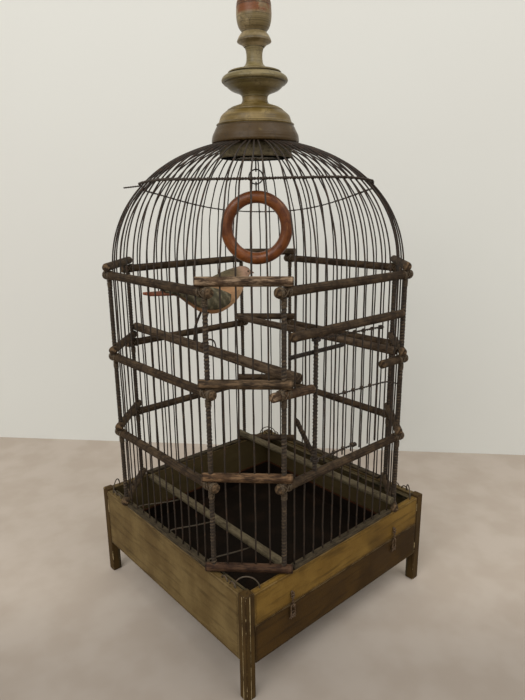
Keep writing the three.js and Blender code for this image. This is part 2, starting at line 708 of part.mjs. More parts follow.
function sideDome(doorway) {
  const rail = dowel(
    vector(-RAIL_END, -WALL_OFFSET, TOP_RAIL_Z),
    vector(RAIL_END, -WALL_OFFSET, TOP_RAIL_Z),
  );
  const aboveLintel = LINTEL_Z + RAIL_RADIUS + GAP;
  const wires = LONG_PLACES.map((x) =>
    domeWire(x, -WALL_OFFSET, TOP_RAIL_Z, doorway && inDoorway(x) ? aboveLintel : TOP_RAIL_Z),
  );
  const holes = cornerHoles.map(([x, radius, sides]) => drilled(x, TOP_RAIL_Z, radius, sides));
  return cut(join([rail, ...wires]), holes);
}

Object.entries(SIDES).forEach(([side, group]) =>
  place(`${side}_dome`, sideDome(side === "front"), OLD_IRON, group),
);

function cornerDome() {
  const half = CHAMFER_HALF + RAIL_OVERHANG;
  const rail = dowel(
    vector(-half, -CHAMFER_OFFSET, CHAMFER_TOP_Z),
    vector(half, -CHAMFER_OFFSET, CHAMFER_TOP_Z),
  );
  return join([rail, ...CHAMFER_PLACES.map((x) => domeWire(x, -CHAMFER_OFFSET, CHAMFER_TOP_Z))]);
}

Object.entries(CORNERS).forEach(([corner, group]) =>
  place(`${corner}_dome`, cornerDome(), OLD_IRON, group),
);

/** Radius at which an eight-sided wall stands in a given direction, on the line of its wires. */
function wallRadius(direction) {
  const eighth = Math.PI / 4;
  const fromSide = direction - 2 * eighth * Math.round(direction / (2 * eighth));
  const shifted = direction - eighth;
  const fromCorner = shifted - 2 * eighth * Math.round(shifted / (2 * eighth));
  return Math.min(WALL_OFFSET / Math.cos(fromSide), CHAMFER_OFFSET / Math.cos(fromCorner));
}

/** The binding wire laid round the dome: it sags behind, and its end stands off at the back left. */
function domeHoop() {
  const near = THREE.MathUtils.degToRad(225);
  const start = THREE.MathUtils.degToRad(HOOP_TAIL_DIRECTION);
  const outside = cornerReach(WIRE_SIDES) * WIRE_RADIUS + WIRE_RADIUS + 3 * GAP;
  const path = Array.from({ length: HOOP_STEPS + 1 }, (_, i) => {
    const direction = start + ((2 * Math.PI - HOOP_OPENING) * i) / HOOP_STEPS;
    const fromNear = direction - near;
    const height = HOOP_HEIGHT + HOOP_RISE * Math.cos(fromNear) - HOOP_SAG * Math.cos(2 * fromNear);
    const turn = Math.asin((height / DOME_RISE) ** (DOME_FULLNESS / 2));
    const radius = domeRadius(wallRadius(direction), turn) + outside;
    return vector(radius * Math.cos(direction), radius * Math.sin(direction), TOP_RAIL_Z + height);
  });
  const tail = path[0].clone().setZ(0).setLength(HOOP_TAIL);
  path.unshift(path[0].clone().add(tail).addScaledVector(UP, -2));
  return bar(path, WIRE_RADIUS, WIRE_SIDES, UP);
}

place("dome_hoop", domeHoop(), OLD_IRON);

// ---------------------------------------------------------------- crown and finial

const crownTurn = turnAtRadius(CORNER_RADIUS, BELL_RECESS_RADIUS);
const BELL_BOTTOM = TOP_RAIL_Z + domeHeight(crownTurn) + BELL_SEAT;
const DISC_BOTTOM = BELL_BOTTOM + BELL_HEIGHT;
const URN_BOTTOM = DISC_BOTTOM + DISC_HEIGHT;
const PUCK_BOTTOM = BELL_BOTTOM - PUCK_DROP;
const PUCK_TOP = BELL_BOTTOM + BELL_RECESS_DEPTH - GAP;
const HOOK_HOLE_TOP = PUCK_BOTTOM + HOOK_HOLE_DEPTH;

place(
  "crown_puck",
  turned([
    [0, HOOK_HOLE_TOP],
    [HOOK_HOLE_RADIUS, HOOK_HOLE_TOP],
    [HOOK_HOLE_RADIUS, PUCK_BOTTOM],
    [PUCK_RADIUS - 1.5, PUCK_BOTTOM],
    [PUCK_RADIUS, PUCK_BOTTOM + 1.5],
    [PUCK_RADIUS, PUCK_TOP],
    [0, PUCK_TOP],
  ]),
  DOWEL_WOOD,
);

place(
  "finial_bell",
  turned([
    [0, BELL_BOTTOM + BELL_RECESS_DEPTH],
    [BELL_RECESS_RADIUS, BELL_BOTTOM + BELL_RECESS_DEPTH],
    ...turnedTo(BELL_RADIUS, BELL_BOTTOM, BELL_HEIGHT - GAP, [
      [BELL_RECESS_RADIUS / BELL_RADIUS, 0],
      [0.985, 0],
      [1, 0.06],
      [0.98, 0.17],
      [0.93, 0.27],
      [0.88, 0.37],
      [0.85, 0.42],
      [0.81, 0.52],
      [0.77, 0.6],
      [0.67, 0.69],
      [0.56, 0.77],
      [0.44, 0.81],
      [0.32, 0.86],
      [0.285, 0.94],
      [0.285, 1],
      [0, 1],
    ]),
  ]),
  TURNED_PAINT,
);

place(
  "finial_disc",
  turned(
    turnedTo(DISC_RADIUS, DISC_BOTTOM, DISC_HEIGHT - GAP, [
      [0, 0],
      [0.385, 0],
      [0.445, 0.06],
      [0.565, 0.1],
      [0.795, 0.185],
      [0.95, 0.265],
      [1, 0.34],
      [0.91, 0.43],
      [0.75, 0.51],
      [0.41, 0.585],
      [0.3, 0.63],
      [0.245, 0.71],
      [0.24, 0.88],
      [0.31, 1],
      [0, 1],
    ]),
  ),
  TURNED_PAINT,
);

place(
  "finial_urn",
  turned(
    turnedTo(URN_RADIUS, URN_BOTTOM, URN_HEIGHT, [
      [0, 0],
      [0.63, 0],
      [0.885, 0.043],
      [0.975, 0.086],
      [0.925, 0.13],
      [0.77, 0.186],
      [0.7, 0.21],
      [0.85, 0.267],
      [0.94, 0.323],
      [0.995, 0.406],
      [1, 0.49],
      [0.975, 0.593],
      [0.915, 0.651],
      [0.63, 0.76],
      [0.39, 0.807],
      [0.455, 0.886],
      [0.315, 0.964],
      [0, 1],
    ]),
  ),
  TURNED_PAINT,
);

// ---------------------------------------------------------------- swing

const ACROSS = vector(1, -1, 0).normalize(); // the wires of the swing are hooked along this line
const FACING = vector(1, 1, 0).normalize(); // the hanging ring faces this way
const HOOK_EYE_Z = PUCK_BOTTOM - HOOK_DROP;
const EYE_HOLE = SWING_EYE_RADIUS - SWING_WIRE_RADIUS;
const LINK_TOP_Z = HOOK_EYE_Z - EYE_HOLE + SWING_PLAY + SWING_WIRE_RADIUS;
const LINK_Z = LINK_TOP_Z - LINK_RADIUS;
const LINK_FOOT_Z = LINK_Z - LINK_RADIUS;
const RING_EYE_Z = LINK_FOOT_Z + SWING_WIRE_RADIUS + SWING_PLAY - EYE_HOLE;
const RING_Z = RING_EYE_Z - SWING_EYE_RADIUS - RING_SHANK - RING_TUBE - RING_RADIUS;

place(
  "swing_hook",
  join([
    upright(0, 0, HOOK_EYE_Z + SWING_EYE_RADIUS, HOOK_HOLE_TOP - GAP, SWING_WIRE_RADIUS, ROD_SIDES),
    wireRing(vector(0, 0, HOOK_EYE_Z), SWING_EYE_RADIUS, SWING_WIRE_RADIUS, ACROSS),
  ]),
  OLD_IRON,
);
place("swing_link", wireRing(vector(0, 0, LINK_Z), LINK_RADIUS, SWING_WIRE_RADIUS, FACING, 16), OLD_IRON);

const ringTop = RING_Z + RING_RADIUS + RING_TUBE;
const woodenRing = new THREE.TorusGeometry(RING_RADIUS, RING_TUBE, 8, 22);
woodenRing.rotateX(Math.PI / 2);
woodenRing.rotateZ(-Math.PI / 4);
woodenRing.translate(0, 0, RING_Z);
place(
  "swing_ring",
  join([
    woodenRing,
    upright(0, 0, ringTop - 2, RING_EYE_Z - SWING_EYE_RADIUS, SWING_WIRE_RADIUS, ROD_SIDES),
    wireRing(vector(0, 0, RING_EYE_Z), SWING_EYE_RADIUS, SWING_WIRE_RADIUS, ACROSS),
  ]),
  RING_WOOD,
);

// ---------------------------------------------------------------- perches

const onRail = RAIL_RADIUS + GAP + PERCH_RADIUS;
const onMiddleRail = MIDDLE_RAIL_Z + onRail;
const onMiddleCorner = onMiddleRail + STACK - PERCH_SETTLE;
const onSillCorner = SILL_RAIL_Z + onRail - PERCH_SETTLE;
const beyondWire = (clearance) => LAST_WIRE + WIRE_RADIUS + clearance + PERCH_RADIUS;
const lapping = (lap) => WALL_OFFSET - RAIL_RADIUS + lap;

// the left perch lies on the front rail, between two wires, and on the end of the corner rail at the back
const LEFT_PERCH_FRONT = vector(
  -(LAST_WIRE - WIRE_PITCH / 2),
  -lapping(LEFT_PERCH_FRONT_LAP),
  onMiddleRail,
);
const LEFT_PERCH_BACK = vector(
  -beyondWire(LEFT_PERCH_CLEARANCE),
  lapping(LEFT_PERCH_BACK_LAP),
  onMiddleCorner,
);

const perch = (x, reach, z) => roundedDowel(vector(x, -reach, z), vector(x, reach, z), PERCH_RADIUS);
const rightPerch = perch(beyondWire(RIGHT_PERCH_CLEARANCE), lapping(RIGHT_PERCH_LAP), onMiddleRail);
const lowRightPerch = perch(beyondWire(LOW_RIGHT_CLEARANCE), lapping(LOW_RIGHT_LAP), onSillCorner);
place("left_perch", roundedDowel(LEFT_PERCH_FRONT, LEFT_PERCH_BACK, PERCH_RADIUS), DOWEL_WOOD);
place("right_perch", rightPerch, DOWEL_WOOD);
place("low_right_perch", lowRightPerch, PALE_DOWEL);

const LOW_LEFT_X = -(LAST_WIRE + LOW_LEFT_OFFSET);
const LOW_LEFT_Z = RIM_TOP + LOW_LEFT_RISE;

/** The wires bound to the low left perch, which lie over the ledge and reach out to the sill. */
const perchWires = PERCH_WIRE_PITCHES.map((pitches) => {
  const [atSill, atPerch] = pitches.map((count) => count * WIRE_PITCH);
  return bar(
    [
      vector(-BOARD_INNER + GAP, atSill, SILL_FOOT),
      vector(-BOARD_INNER + LEDGE_WIDTH, atSill, SILL_FOOT),
      vector(LOW_LEFT_X - PERCH_RADIUS, atPerch, LOW_LEFT_Z - PERCH_RADIUS / 2),
      vector(LOW_LEFT_X - PERCH_RADIUS / 2, atPerch, LOW_LEFT_Z - PERCH_RADIUS),
      vector(LOW_LEFT_X + 1, atPerch, LOW_LEFT_Z - PERCH_RADIUS),
    ],
    WIRE_RADIUS,
    WIRE_SIDES,
    UP,
  );
});
place(
  "low_left_perch",
  join([perch(LOW_LEFT_X, BOARD_INNER - LOW_LEFT_RECESS, LOW_LEFT_Z), ...perchWires]),
  PALE_DOWEL,
);

// ---------------------------------------------------------------- door

const doorwayTop = LINTEL_Z - RAIL_RADIUS - GAP;
const doorwayBottom = LOWER_RAIL_Z + RAIL_RADIUS + GAP;
const LINTEL_ENDS = [-LAST_WIRE - LINTEL_LEFT_OVERHANG, LAST_WIRE + LINTEL_RIGHT_OVERHANG];
place(
  "door_lintel",
  longRail(...LINTEL_ENDS, LINTEL_Z, within(LINTEL_ENDS, sideWireHoles)),
  DOWEL_WOOD,
);

/** The upright that the door hangs on, with a tail of its wire that leans against the wires inside. */
function hingePost() {
  const wireCorner = WIRE_RADIUS * cornerReach(WIRE_SIDES);
  const behind = -WALL_OFFSET + wireCorner + GAP + POST_TAIL_RADIUS * cornerReach(ROD_SIDES);
  const foot = doorwayBottom + POST_TAIL_FOOT;
  const tail = bar(
    [
      vector(DOOR_LEFT_X, -WALL_OFFSET, foot),
      vector(DOOR_LEFT_X - POST_TAIL_RADIUS, behind, foot + 2 * POST_TAIL_RADIUS),
      vector(DOOR_LEFT_X - POST_TAIL_REACH, behind, foot + POST_TAIL_RISE),
    ],
    POST_TAIL_RADIUS,
    ROD_SIDES,
    vector(1, 0, 0),
  );
  const post = upright(
    DOOR_LEFT_X,
    -WALL_OFFSET,
    doorwayBottom,
    doorwayTop,
    DOOR_POST_RADIUS,
    ROD_SIDES,
  );
  return join([post, tail]);
}
place("door_hinge_post", hingePost(), OLD_IRON);

const DOOR_TOP_Z = doorwayTop - DOOR_TOP_GAP;
const DOOR_BOTTOM_Z = doorwayBottom + DOOR_FOOT_GAP;
const LATCH_Z = DOOR_BOTTOM_Z + LATCH_HEIGHT;
const DOOR_BARS = [DOOR_BOTTOM_Z + DOOR_BAR_INSET, DOOR_TOP_Z - DOOR_BAR_INSET];
const DOOR_WIRES = spread(DOOR_WIRE_COUNT, WIRE_PITCH);

/** The wire door: uprights and a stile tied by three cross wires, with loops round the hinge post. */
function door() {
  const postCorner = DOOR_POST_RADIUS * cornerReach(ROD_SIDES);
  const loopRadius = postCorner + 2 * DOOR_LOOP_CLEARANCE + WIRE_RADIUS;
  const half = (WIRE_RADIUS * cornerReach(WIRE_SIDES)) / Math.SQRT2;
  const crossY = -WALL_OFFSET - 2 * half + 0.2;
  const uprights = DOOR_WIRES.map((x) =>
    upright(x, -WALL_OFFSET, DOOR_BOTTOM_Z, DOOR_TOP_Z, WIRE_RADIUS),
  );
  const stile = upright(
    DOOR_STILE_X,
    -WALL_OFFSET,
    DOOR_BOTTOM_Z,
    DOOR_TOP_Z,
    DOOR_STILE_RADIUS,
    ROD_SIDES,
  );
  const crossWire = (left, z) =>
    bar([vector(left, crossY, z), vector(DOOR_STILE_X + 1, crossY, z)], WIRE_RADIUS, WIRE_SIDES, UP);
  const latch = bar(
    [
      vector(DOOR_STILE_X - 6, crossY, LATCH_Z),
      vector(DOOR_STILE_X + 3, crossY - 0.4, LATCH_Z),
      vector(DOOR_HALF + WIRE_PITCH, crossY - 1.4, LATCH_Z - LATCH_DROP / 3),
      vector(DOOR_STILE_X + LATCH_REACH, crossY - 2, LATCH_Z - LATCH_DROP),
    ],
    WIRE_RADIUS,
    WIRE_SIDES,
    UP,
  );
  const loops = DOOR_BARS.map((z) =>
    wireRing(vector(DOOR_LEFT_X, -WALL_OFFSET, z), loopRadius, WIRE_RADIUS, UP),
  );
  return join([
    ...uprights,
    stile,
    ...DOOR_BARS.map((z) => crossWire(DOOR_LEFT_X + loopRadius - 0.6, z)),
    crossWire(DOOR_WIRES[0] - 1, LATCH_Z),
    latch,
    ...loops,
  ]);
}

place("door", door(), OLD_IRON);

/** The wire-bound rod that lies across the inside of the door's hinge post. */
function innerRod() {
  const post = DOOR_POST_RADIUS * cornerReach(ROD_SIDES);
  const y = -WALL_OFFSET + post + GAP + INNER_ROD_RADIUS * cornerReach(ROD_SIDES);
  const z = LINTEL_Z - INNER_ROD_DROP;
  return bar(
    [vector(DOOR_LEFT_X - INNER_ROD_LEFT, y, z), vector(DOOR_LEFT_X + INNER_ROD_RIGHT, y, z)],
    INNER_ROD_RADIUS,
    ROD_SIDES,
    UP,
  );
}

place("inner_rod", innerRod(), OLD_IRON);

// ---------------------------------------------------------------- toy bird

// the toy bird from tail to beak, in shares of its length: distance ahead of its feet, height of the
// middle over them, half width, half height
const BIRD_SECTIONS = [
  [-0.44, 0.42, 0.03, 0.014],
  [-0.41, 0.418, 0.032, 0.022],
  [-0.24, 0.412, 0.042, 0.024],
  [-0.12, 0.381, 0.05, 0.042],
  [-0.06, 0.358, 0.07, 0.066],
  [0.03, 0.336, 0.095, 0.106],
  [0.15, 0.339, 0.11, 0.137],
  [0.26, 0.368, 0.105, 0.142],
  [0.35, 0.405, 0.09, 0.124],
  [0.405, 0.448, 0.074, 0.088],
  [0.455, 0.48, 0.054, 0.054],
  [0.495, 0.484, 0.026, 0.027],
  [0.525, 0.478, 0.012, 0.012],
  [0.56, 0.474, 0.004, 0.005],
];
const BIRD_HIPS = [0.1, 0.032, 0.296]; // ahead of the feet, to either side and over them

/** The carved bird and its wire legs, standing across the left perch. */
function toyBird() {
  const share = (BIRD_Y - LEFT_PERCH_FRONT.y) / (LEFT_PERCH_BACK.y - LEFT_PERCH_FRONT.y);
  const feet = LEFT_PERCH_FRONT.clone().lerp(LEFT_PERCH_BACK, share);
  const slope = Math.abs(LEFT_PERCH_BACK.z - LEFT_PERCH_FRONT.z) / (LEFT_PERCH_BACK.y - LEFT_PERCH_FRONT.y);
  feet.z += PERCH_RADIUS + GAP + slope * BIRD_STANCE;
  const at = (ahead, across, up) =>
    vector(feet.x + ahead * BIRD_LENGTH, feet.y + across * BIRD_LENGTH, feet.z + up * BIRD_LENGTH);
  const body = loft(
    BIRD_SECTIONS.map(([ahead, height, halfWidth, halfHeight]) =>
      Array.from({ length: BIRD_SIDES }, (_, k) => {
        const turn = (2 * Math.PI * k) / BIRD_SIDES;
        return at(ahead, halfWidth * Math.cos(turn), height + halfHeight * Math.sin(turn));
      }),
    ),
  );
  const legs = [-1, 1].map((side) =>
    bar(
      [
        vector(feet.x, feet.y + side * BIRD_STANCE, feet.z),
        vector(feet.x + 1, feet.y + side * BIRD_STANCE, feet.z + 4),
        at(BIRD_HIPS[0], side * BIRD_HIPS[1], BIRD_HIPS[2]),
      ],
      WIRE_RADIUS,
    ),
  );
  return join([body, ...legs]);
}

place("toy_bird", toyBird(), BIRD_PAINT);

export default cage;
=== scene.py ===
"""The looks of an old canary breeding cage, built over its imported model.

All shapes are worked out in millimetres in the model's own frame (front = -Y, up = +Z, the floor at 0) and
turned into metres when they become Blender meshes. A shape is a grid of points computed with numpy.
"""

import json
import logging
from dataclasses import dataclass, field
from enum import Enum
from typing import Any, Callable, Optional, Sequence

import bpy
import numpy as np
from mathutils import Matrix

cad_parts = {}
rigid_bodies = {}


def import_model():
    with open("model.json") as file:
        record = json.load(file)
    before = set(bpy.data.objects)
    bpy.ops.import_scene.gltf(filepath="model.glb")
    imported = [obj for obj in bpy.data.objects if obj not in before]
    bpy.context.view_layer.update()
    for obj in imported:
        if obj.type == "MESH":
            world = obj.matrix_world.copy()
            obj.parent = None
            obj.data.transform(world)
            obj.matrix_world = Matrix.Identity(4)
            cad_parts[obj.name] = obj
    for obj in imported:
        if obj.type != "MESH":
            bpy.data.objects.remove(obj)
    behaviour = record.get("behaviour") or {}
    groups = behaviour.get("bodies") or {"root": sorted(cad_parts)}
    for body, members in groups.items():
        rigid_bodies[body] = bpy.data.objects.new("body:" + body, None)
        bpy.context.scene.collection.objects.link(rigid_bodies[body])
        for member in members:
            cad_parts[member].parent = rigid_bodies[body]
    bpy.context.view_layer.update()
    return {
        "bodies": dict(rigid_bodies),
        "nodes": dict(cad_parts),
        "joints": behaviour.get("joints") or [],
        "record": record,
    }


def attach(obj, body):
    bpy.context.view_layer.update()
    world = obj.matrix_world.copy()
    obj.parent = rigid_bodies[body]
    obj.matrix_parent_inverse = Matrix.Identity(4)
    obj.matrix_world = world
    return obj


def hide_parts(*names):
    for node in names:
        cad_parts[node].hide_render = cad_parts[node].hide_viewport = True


Array = np.ndarray
Colour = tuple[float, float, float, float]
LOG = logging.getLogger("cage")
MM = 0.001
UP = np.array([0.0, 0.0, 1.0])
SWAY_WAVES = np.array([1, 2, 3.3, 5.1])  # frequencies of the sines in sway, each as strong as 1 / frequency
LUMP_SHIFT = 37.0  # mm by which the lumps of one bar are shifted against the next one's
GRAIN_SHIFT = 61.0  # mm by which their patterns are shifted
EDGE_WEAR = 2.2  # mm over which the wear at a board's edges falls off
END_ROUNDING = 1.4  # mm over which a dowel's end is rounded
END_WEAR = 0.6  # how rubbed a dowel's ends are


# ------------------------------------------------------------------------------------------ sizes


@dataclass(frozen=True)
class CageSizes:
    """The cage's main sizes in millimetres, from which the pieces' places are worked out."""

    half_side: float = 150.0
    post_width: float = 12.0
    board_outer: float = 149.5
    board_thickness: float = 8.0
    board_bottom: float = 45.0
    rim_top: float = 122.0
    wall_offset: float = 144.7
    chamfer_leg: float = 51.3
    wire_radius: float = 0.85
    wire_pitch: float = 14.369
    chamfer_pitch: float = 14.51
    rail_radius: float = 4.7
    rail_overhang: float = 9.0
    rod_radius: float = 2.3
    lower_rail: float = 218.8
    middle_rail: float = 315.5
    lintel: float = 369.0
    top_rail: float = 412.8
    sill_width: float = 8.0
    sill_height: float = 4.0
    dome_rise: float = 147.5
    dome_fullness: float = 2.2
    puck_radius: float = 41.0
    gap: float = 0.3

    @property
    def corner_along(self) -> float:
        """Where a long side ends, measured from its middle."""
        return self.wall_offset - self.chamfer_leg

    @property
    def chamfer_offset(self) -> float:
        """Distance of a cut corner's wires from the axis."""
        return (self.wall_offset + self.corner_along) / np.sqrt(2)

    @property
    def chamfer_half(self) -> float:
        """Half the width of a cut corner."""
        return self.chamfer_leg / np.sqrt(2)

    @property
    def corner_radius(self) -> float:
        """Distance of a corner rod from the axis."""
        return float(np.hypot(self.wall_offset, self.corner_along))

    @property
    def stack(self) -> float:
        """Height of a corner rail's axis over the long rail that it lies on."""
        return 2 * self.rail_radius + self.gap

    @property
    def sill_rail(self) -> float:
        """Height of the corner rails that lie on the rim."""
        return self.rim_top + self.rail_radius + self.gap

    @property
    def board_inner(self) -> float:
        """Distance of a board's inner face from the axis."""
        return self.board_outer - self.board_thickness

    @property
    def post_inner(self) -> float:
        """Where a leg post begins, measured from the middle of a side."""
        return self.half_side - self.post_width

    @property
    def overhang_end(self) -> float:
        """Reach of a corner rail's end along the long side."""
        return self.corner_along - self.rail_overhang / np.sqrt(2)


SIZES = CageSizes()


class Side(Enum):
    """A long side of the cage and how far it is turned from the front, in degrees."""

    FRONT = 0
    RIGHT = 90
    BACK = 180
    LEFT = 270


class Corner(Enum):
    """A cut corner of the cage and how far it is turned from the front, in degrees."""

    FRONT_RIGHT = 45
    BACK_RIGHT = 135
    BACK_LEFT = 225
    FRONT_LEFT = 315


# ------------------------------------------------------------------------------------------ geometry


def unit(vectors: Array) -> Array:
    """Vectors scaled to length 1 along their last axis."""
    return vectors / np.maximum(np.linalg.norm(vectors, axis=-1, keepdims=True), 1e-12)


def turned(points: Array, degrees: float) -> Array:
    """Points turned about the cage's axis.

    Args:
        points: Points in a side's own frame, in which the side faces -Y.
        degrees: How far that side is turned from the front.

    Returns:
        The points in the cage's frame.
    """
    a = np.radians(degrees)
    turn = np.array([[np.cos(a), -np.sin(a), 0], [np.sin(a), np.cos(a), 0], [0, 0, 1]])
    return points @ turn.T


def sway(t: Array, seed: int, count: int = 1) -> Array:
    """Smooth wandering values, a sum of sines with seeded phases and strengths.

    Args:
        t: Parameters, 1 for one full wave of the slowest sine.
        seed: Chooses the phases.
        count: How many independent rows are wanted.

    Returns:
        An array of shape (count, len(t)) with values of about -1 to 1.
    """
    rng = np.random.default_rng(seed)
    speed = SWAY_WAVES[:, None]
    phase = rng.uniform(0, 2 * np.pi, (count, len(speed), 1))
    strength = rng.uniform(0.5, 1.0, (count, len(speed), 1)) / speed
    return (strength * np.sin(2 * np.pi * speed * t + phase)).sum(1) / 1.2


def curve_through(points: Array, count: int) -> Array:
    """A smooth curve through points: Catmull-Rom cubics, sampled evenly in the parameter.

    Args:
        points: Points of shape (n, k).
        count: How many samples are wanted.

    Returns:
        Samples of shape (count, k).
    """
    padded = np.vstack([2 * points[0] - points[1], points, 2 * points[-1] - points[-2]])
    t = np.linspace(0, len(points) - 1, count)
    i = np.minimum(t.astype(int), len(points) - 2)
    f = (t - i)[:, None]
    a, b, c, d = (padded[i + k] for k in range(4))
    return 0.5 * (2 * b + (c - a) * f + (2 * a - 5 * b + 4 * c - d) * f**2 + (3 * b - a - 3 * c + d) * f**3)


def rounded_path(corners: Array, radius: float, arc: int = 6) -> Array:
    """A path of straight runs whose corners are rounded by quadratic curves.

    Args:
        corners: Corner points of shape (n, 3).
        radius: How far from a corner its curve begins.
        arc: Points on each curve.

    Returns:
        Points of shape (m, 3).
    """
    middle = corners[1:-1]
    before = middle + unit(corners[:-2] - middle) * radius
    after = middle + unit(corners[2:] - middle) * radius
    t = np.linspace(0, 1, arc)[None, :, None]
    curves = (1 - t) ** 2 * before[:, None] + 2 * t * (1 - t) * middle[:, None] + t**2 * after[:, None]
    return np.vstack([corners[:1], curves.reshape(-1, 3), corners[-1:]])


@dataclass
class Shell:
    """One or more closed surfaces: points in millimetres, faces, and two values carried at each point.

    Attributes:
        points: Vertex places, (n, 3).
        faces: Corner indices, (m, 4); a triangle repeats its last corner.
        grain: A place for patterns that follow the surface: along, and two across, in millimetres.
        wear: How worn the surface is, from 0 to 1.
    """

    points: Array
    faces: Array
    grain: Array
    wear: Array

    @staticmethod
    def joined(shells: Sequence["Shell"]) -> "Shell":
        """Several shells as one."""
        starts = np.cumsum([0] + [len(s.points) for s in shells[:-1]])
        return Shell(
            np.vstack([s.points for s in shells]),
            np.vstack([s.faces + start for s, start in zip(shells, starts)]),
            np.vstack([s.grain for s in shells]),
            np.concatenate([s.wear for s in shells]),
        )

    def turned(self, degrees: float) -> "Shell":
        """The shell turned about the cage's axis."""
        return Shell(turned(self.points, degrees), self.faces, self.grain, self.wear)

    def moved(self, by: Sequence[float]) -> "Shell":
        """The shell moved by a vector in millimetres."""
        return Shell(self.points + np.asarray(by, dtype=float), self.faces, self.grain, self.wear)


def grid_shell(grid: Array, grain: Array, wear: Array, ring: bool = False) -> Shell:
    """Skins a grid of points that closes on itself in its second direction.

    Args:
        grid: Points of shape (rows, around, 3); going up the rows with the thumb, the fingers curl round.
        grain: The pattern places, the same shape.
        wear: Wear at each point, (rows, around).
        ring: Whether the last row joins the first. Otherwise both ends get a fan round their middle.

    Returns:
        One closed shell.
    """
    rows, around = grid.shape[:2]
    index = np.arange(rows * around).reshape(rows, around)
    low = index if ring else index[:-1]
    high = np.roll(index, -1, 0) if ring else index[1:]
    faces = np.stack([low, np.roll(low, -1, 1), np.roll(high, -1, 1), high], -1).reshape(-1, 4)
    points, patterns, worn = grid.reshape(-1, 3), grain.reshape(-1, 3), wear.reshape(-1)
    if ring:
        return Shell(points, faces, patterns, worn)
    first, last = index[0], index[-1]
    foot, top = len(points), len(points) + 1
    foot_fan = np.stack([np.roll(first, -1), first, np.full(around, foot), np.full(around, foot)], -1)
    top_fan = np.stack([last, np.roll(last, -1), np.full(around, top), np.full(around, top)], -1)
    return Shell(
        np.vstack([points, grid[0].mean(0), grid[-1].mean(0)]),
        np.vstack([faces, foot_fan, top_fan]),
        np.vstack([patterns, grain[0].mean(0), grain[-1].mean(0)]),
        np.append(worn, [wear[0].mean(), wear[-1].mean()]),
    )


def tubes(
    paths: Array,
    radius: Any,
    normal: Any,
    sides: int = 10,
    closed: bool = False,
    wear: Any = 0.0,
    lumps: Optional[Callable[[Array, Array], Array]] = None,
) -> Shell:
    """Round bars along paths: a circle carried at right angles along each path.

    Args:
        paths: Points of shape (bars, n, 3) or (n, 3).
        radius: Radius in millimetres, a number or an array that fits (bars, n).
        normal: A direction that no path runs along, (3,) or (bars, 3); the circle's zero angle leans to it.
        sides: Points round the circle.
        closed: Whether each path is a loop, with its first point not repeated.
        wear: A number or an array that fits (bars, n).
        lumps: Gives the share by which the radius grows, from (along in mm, angle) grids.

    Returns:
        All the bars in one shell.
    """
    paths = paths[None] if paths.ndim == 2 else paths
    count, steps = paths.shape[:2]
    if closed:
        along = unit(np.roll(paths, -1, 1) - np.roll(paths, 1, 1))
    else:
        along = unit(np.gradient(paths, axis=1))
    lean = np.broadcast_to(np.asarray(normal, dtype=float).reshape(-1, 1, 3), paths.shape)
    lean = unit(lean - (lean * along).sum(-1, keepdims=True) * along)
    across = np.cross(along, lean)
    angle = np.linspace(0, 2 * np.pi, sides, endpoint=False)
    travelled = np.cumsum(np.linalg.norm(np.diff(paths, axis=1), axis=-1), 1)
    run = np.concatenate([np.zeros((count, 1)), travelled], 1)[..., None]
    bar = np.arange(count)[:, None, None]
    size = np.broadcast_to(np.asarray(radius, dtype=float), (count, steps))[..., None] * np.ones(sides)
    if lumps is not None:
        size = size * (1 + lumps(run + LUMP_SHIFT * bar, angle))
    spoke = np.cos(angle)[:, None] * lean[:, :, None] + np.sin(angle)[:, None] * across[:, :, None]
    grid = paths[:, :, None] + size[..., None] * spoke
    shifted = run + np.zeros(sides) + GRAIN_SHIFT * bar
    grain = np.stack([shifted, size * np.cos(angle), size * np.sin(angle)], -1)
    worn = np.broadcast_to(np.asarray(wear, dtype=float), (count, steps))[..., None] * np.ones(sides)
    return Shell.joined([grid_shell(grid[k], grain[k], worn[k], closed) for k in range(count)])


def lathe(profile: Array, around: int = 72, wear: Any = 0.0) -> Shell:
    """A turned form: a profile of (radius, height) points swept round the cage's axis from bottom to top.

    Args:
        profile: Points in millimetres, from the underside's middle up to the top's middle.
        around: Points round the axis.
        wear: A number or one value for each profile point.

    Returns:
        One closed shell.
    """
    angle = np.linspace(0, 2 * np.pi, around, endpoint=False)
    radius = np.maximum(profile[:, 0], 0.02)[:, None]
    grid = np.stack([radius * np.cos(angle), radius * np.sin(angle), profile[:, 1:] + np.zeros(around)], -1)
    worn = np.broadcast_to(np.asarray(wear, dtype=float), len(profile))[:, None] * np.ones(around)
    return grid_shell(grid, grid.copy(), worn)


def outline(*runs: Sequence[Sequence[float]], fine: int = 5) -> Array:
    """A profile made of smooth runs that meet in sharp corners.

    Args:
        runs: Each run's (radius, height) points; a run of two points stays straight.
        fine: Samples for each stretch between points.

    Returns:
        The sampled profile.
    """
    parts = []
    for run in runs:
        points = np.array(run, dtype=float)
        parts.append(points if len(points) == 2 else curve_through(points, fine * (len(points) - 1) + 1))
    return np.vstack(parts)


